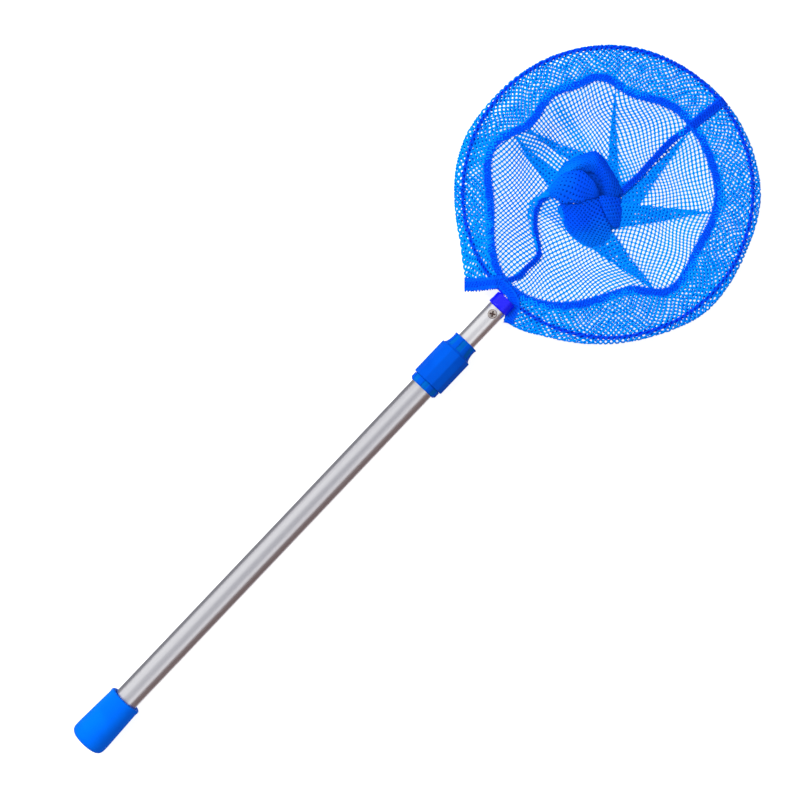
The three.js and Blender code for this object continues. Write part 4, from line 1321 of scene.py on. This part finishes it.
for body, slot, pieces in (
    ("pole", "grip_plastic", {"end_cap": cap}),
    ("pole", "tube_aluminium", {"outer_tube": outer_tube}),
    ("pole", "lock_plastic", {"lock_body": lock_ring}),
    ("nut", "lock_plastic", {"lock_nut": lock_nut}),
    ("head", "tube_aluminium", {"inner_tube": inner_tube}),
    ("head", "ferrule_plastic", {"ferrule_plug": ferrule}),
    ("head", "screw_steel", {"ferrule_screw": screw}),
    ("head", "coated_wire", {"hoop_wire": wire}),
    ("head", "net_mesh", {"bag_left": bag_left, "bag_right": bag_right}),
    ("head", "net_mesh", {"sleeve_left": sleeve_left, "sleeve_right": sleeve_right}),
    ("head", "seam_tape", {"rim_tape": rim_tape, "far_seam_tape": seam_tapes[0]}),
    ("head", "seam_tape", {"near_seam_tape": seam_tapes[1], "sleeve_seam_tape": hems[0]}),
    ("head", "seam_tape", {"hem_left": hems[2], "hem_right": hems[4]}),
):
    for node, piece in pieces.items():
        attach(piece, body)
        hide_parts(node)

for slot, pieces in (
    ("seam_tape", [rim_stitches, *seam_tapes[2:], *hems[1::2]]),
    ("net_mesh", [*bun, seam_fold]),
):
    for piece in pieces:
        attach(piece, "head")

for node in ("lock_collet", "tail_bushing"):
    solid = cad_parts[node]
    solid.data.materials.clear()
    solid.data.materials.append(NYLON)

declare_cloth(bag_left)
declare_cloth(bag_right)
declare_cloth(sleeve_left)
declare_cloth(sleeve_right)
for piece in bun:
    declare_cloth(piece)


# Camera, floor, cards, lamp and background, in metres

FLOOR_SIZE = 12


def make_camera():
    data = bpy.data.cameras.new("camera")
    data.sensor_width = SENSOR
    data.lens = SENSOR / 2 / math.tan(math.radians(CAMERA_FIELD / 2))
    data.clip_start, data.clip_end = 0.05, 20
    camera = in_scene("camera", data)
    camera.location = (*CAMERA_OVER, CAMERA_HEIGHT)
    camera.rotation_euler.z = math.radians(CAMERA_TURN)
    bpy.context.scene.camera = camera


def make_lamp(name, place, aim, size, watts):
    data = bpy.data.lights.new(name, "AREA")
    data.shape = "DISK"
    data.size = size
    data.energy = watts
    lamp = in_scene(name, data)
    lamp.visible_glossy = False
    lamp.location = place
    lamp.rotation_euler = (Vector(aim) - Vector(place)).to_track_quat("-Z", "Y").to_euler()


def light_path_white(nodes, white, other):
    """other, with white added for the camera, reflections and refractions."""
    path = nodes.add("LightPath").outputs
    seen = nodes.math("MAXIMUM", path["Is Camera Ray"], path["Is Glossy Ray"])
    seen = nodes.math("MAXIMUM", seen, path["Is Transmission Ray"])
    return nodes.plus(nodes.times(seen, white), other)


def make_sheet(name, size, cuts, place, values):
    """A flat sheet of the studio, with its material's Nodes and shader."""
    bare()
    ops.mesh.primitive_grid_add(size=size, x_subdivisions=cuts, y_subdivisions=cuts, location=place)
    sheet = bpy.context.object
    sheet.name = name
    made, nodes, principled = new_material(name)
    nodes.fill(principled, {**values, SPECULAR: 0.0})
    sheet.data.materials.append(made)
    return sheet, nodes, principled


def make_floor():
    values = {"Base Color": (0.5, 0.5, 0.5, 1), "Roughness": 0.95, "Emission Color": WHITE}
    place = (0.35, 0, FLOOR * MM)
    floor, nodes, principled = make_sheet("floor", FLOOR_SIZE, 4, place, values)
    nodes.fill(principled, {"Emission Strength": light_path_white(nodes, 0.8, 0.0)})


def make_card(name, end, place, tall, tilt, colour):
    """A studio card along the pole, seen only in reflections, that gives the tubes their darker
    bands. Its colour is a level of light, so it casts and takes no shadow."""
    glow = {"Emission Color": (*colour, 1), "Emission Strength": 1.0}
    middle = ((end - CARD_START) / 2, *place)
    card, _, _ = make_sheet(name, 1, 2, middle, {"Base Color": (0, 0, 0, 1), **glow})
    card.scale = (end + CARD_START, tall, 1)
    card.rotation_euler.x = tilt
    for ray in ("camera", "diffuse", "shadow", "transmission"):
        setattr(card, "visible_" + ray, False)


def make_world():
    world = bpy.data.worlds.new("studio")
    bpy.context.scene.world = world
    world.use_nodes = True
    nodes = Nodes(world.node_tree)
    light = {"Color": WHITE, "Strength": light_path_white(nodes, 0.4, 0.6)}
    nodes.fill(world.node_tree.nodes["Background"], light)


make_camera()
make_floor()
make_card("grey_card", 0.8, (0.024, -0.0045), 0.02, math.pi / 2, (0.3, 0.3, 0.32))
make_card("brown_card", 0.8, (-0.024, 0.0025), 0.034, math.pi / 2, (0.24, 0.175, 0.165))
make_card("floor_card", 0.8, (0.017, -0.0143), 0.014, 0, (0.3, 0.3, 0.32))
make_card("grey_overhead_card", 0.48, (-0.03, 0.5), 0.46, 0, (0.56, 0.56, 0.59))
make_world()
make_lamp("key", (0.15, 1.4, 1.4), (0.35, 0, 0), 1.2, 40)
bpy.context.scene.view_settings.view_transform = "Standard"
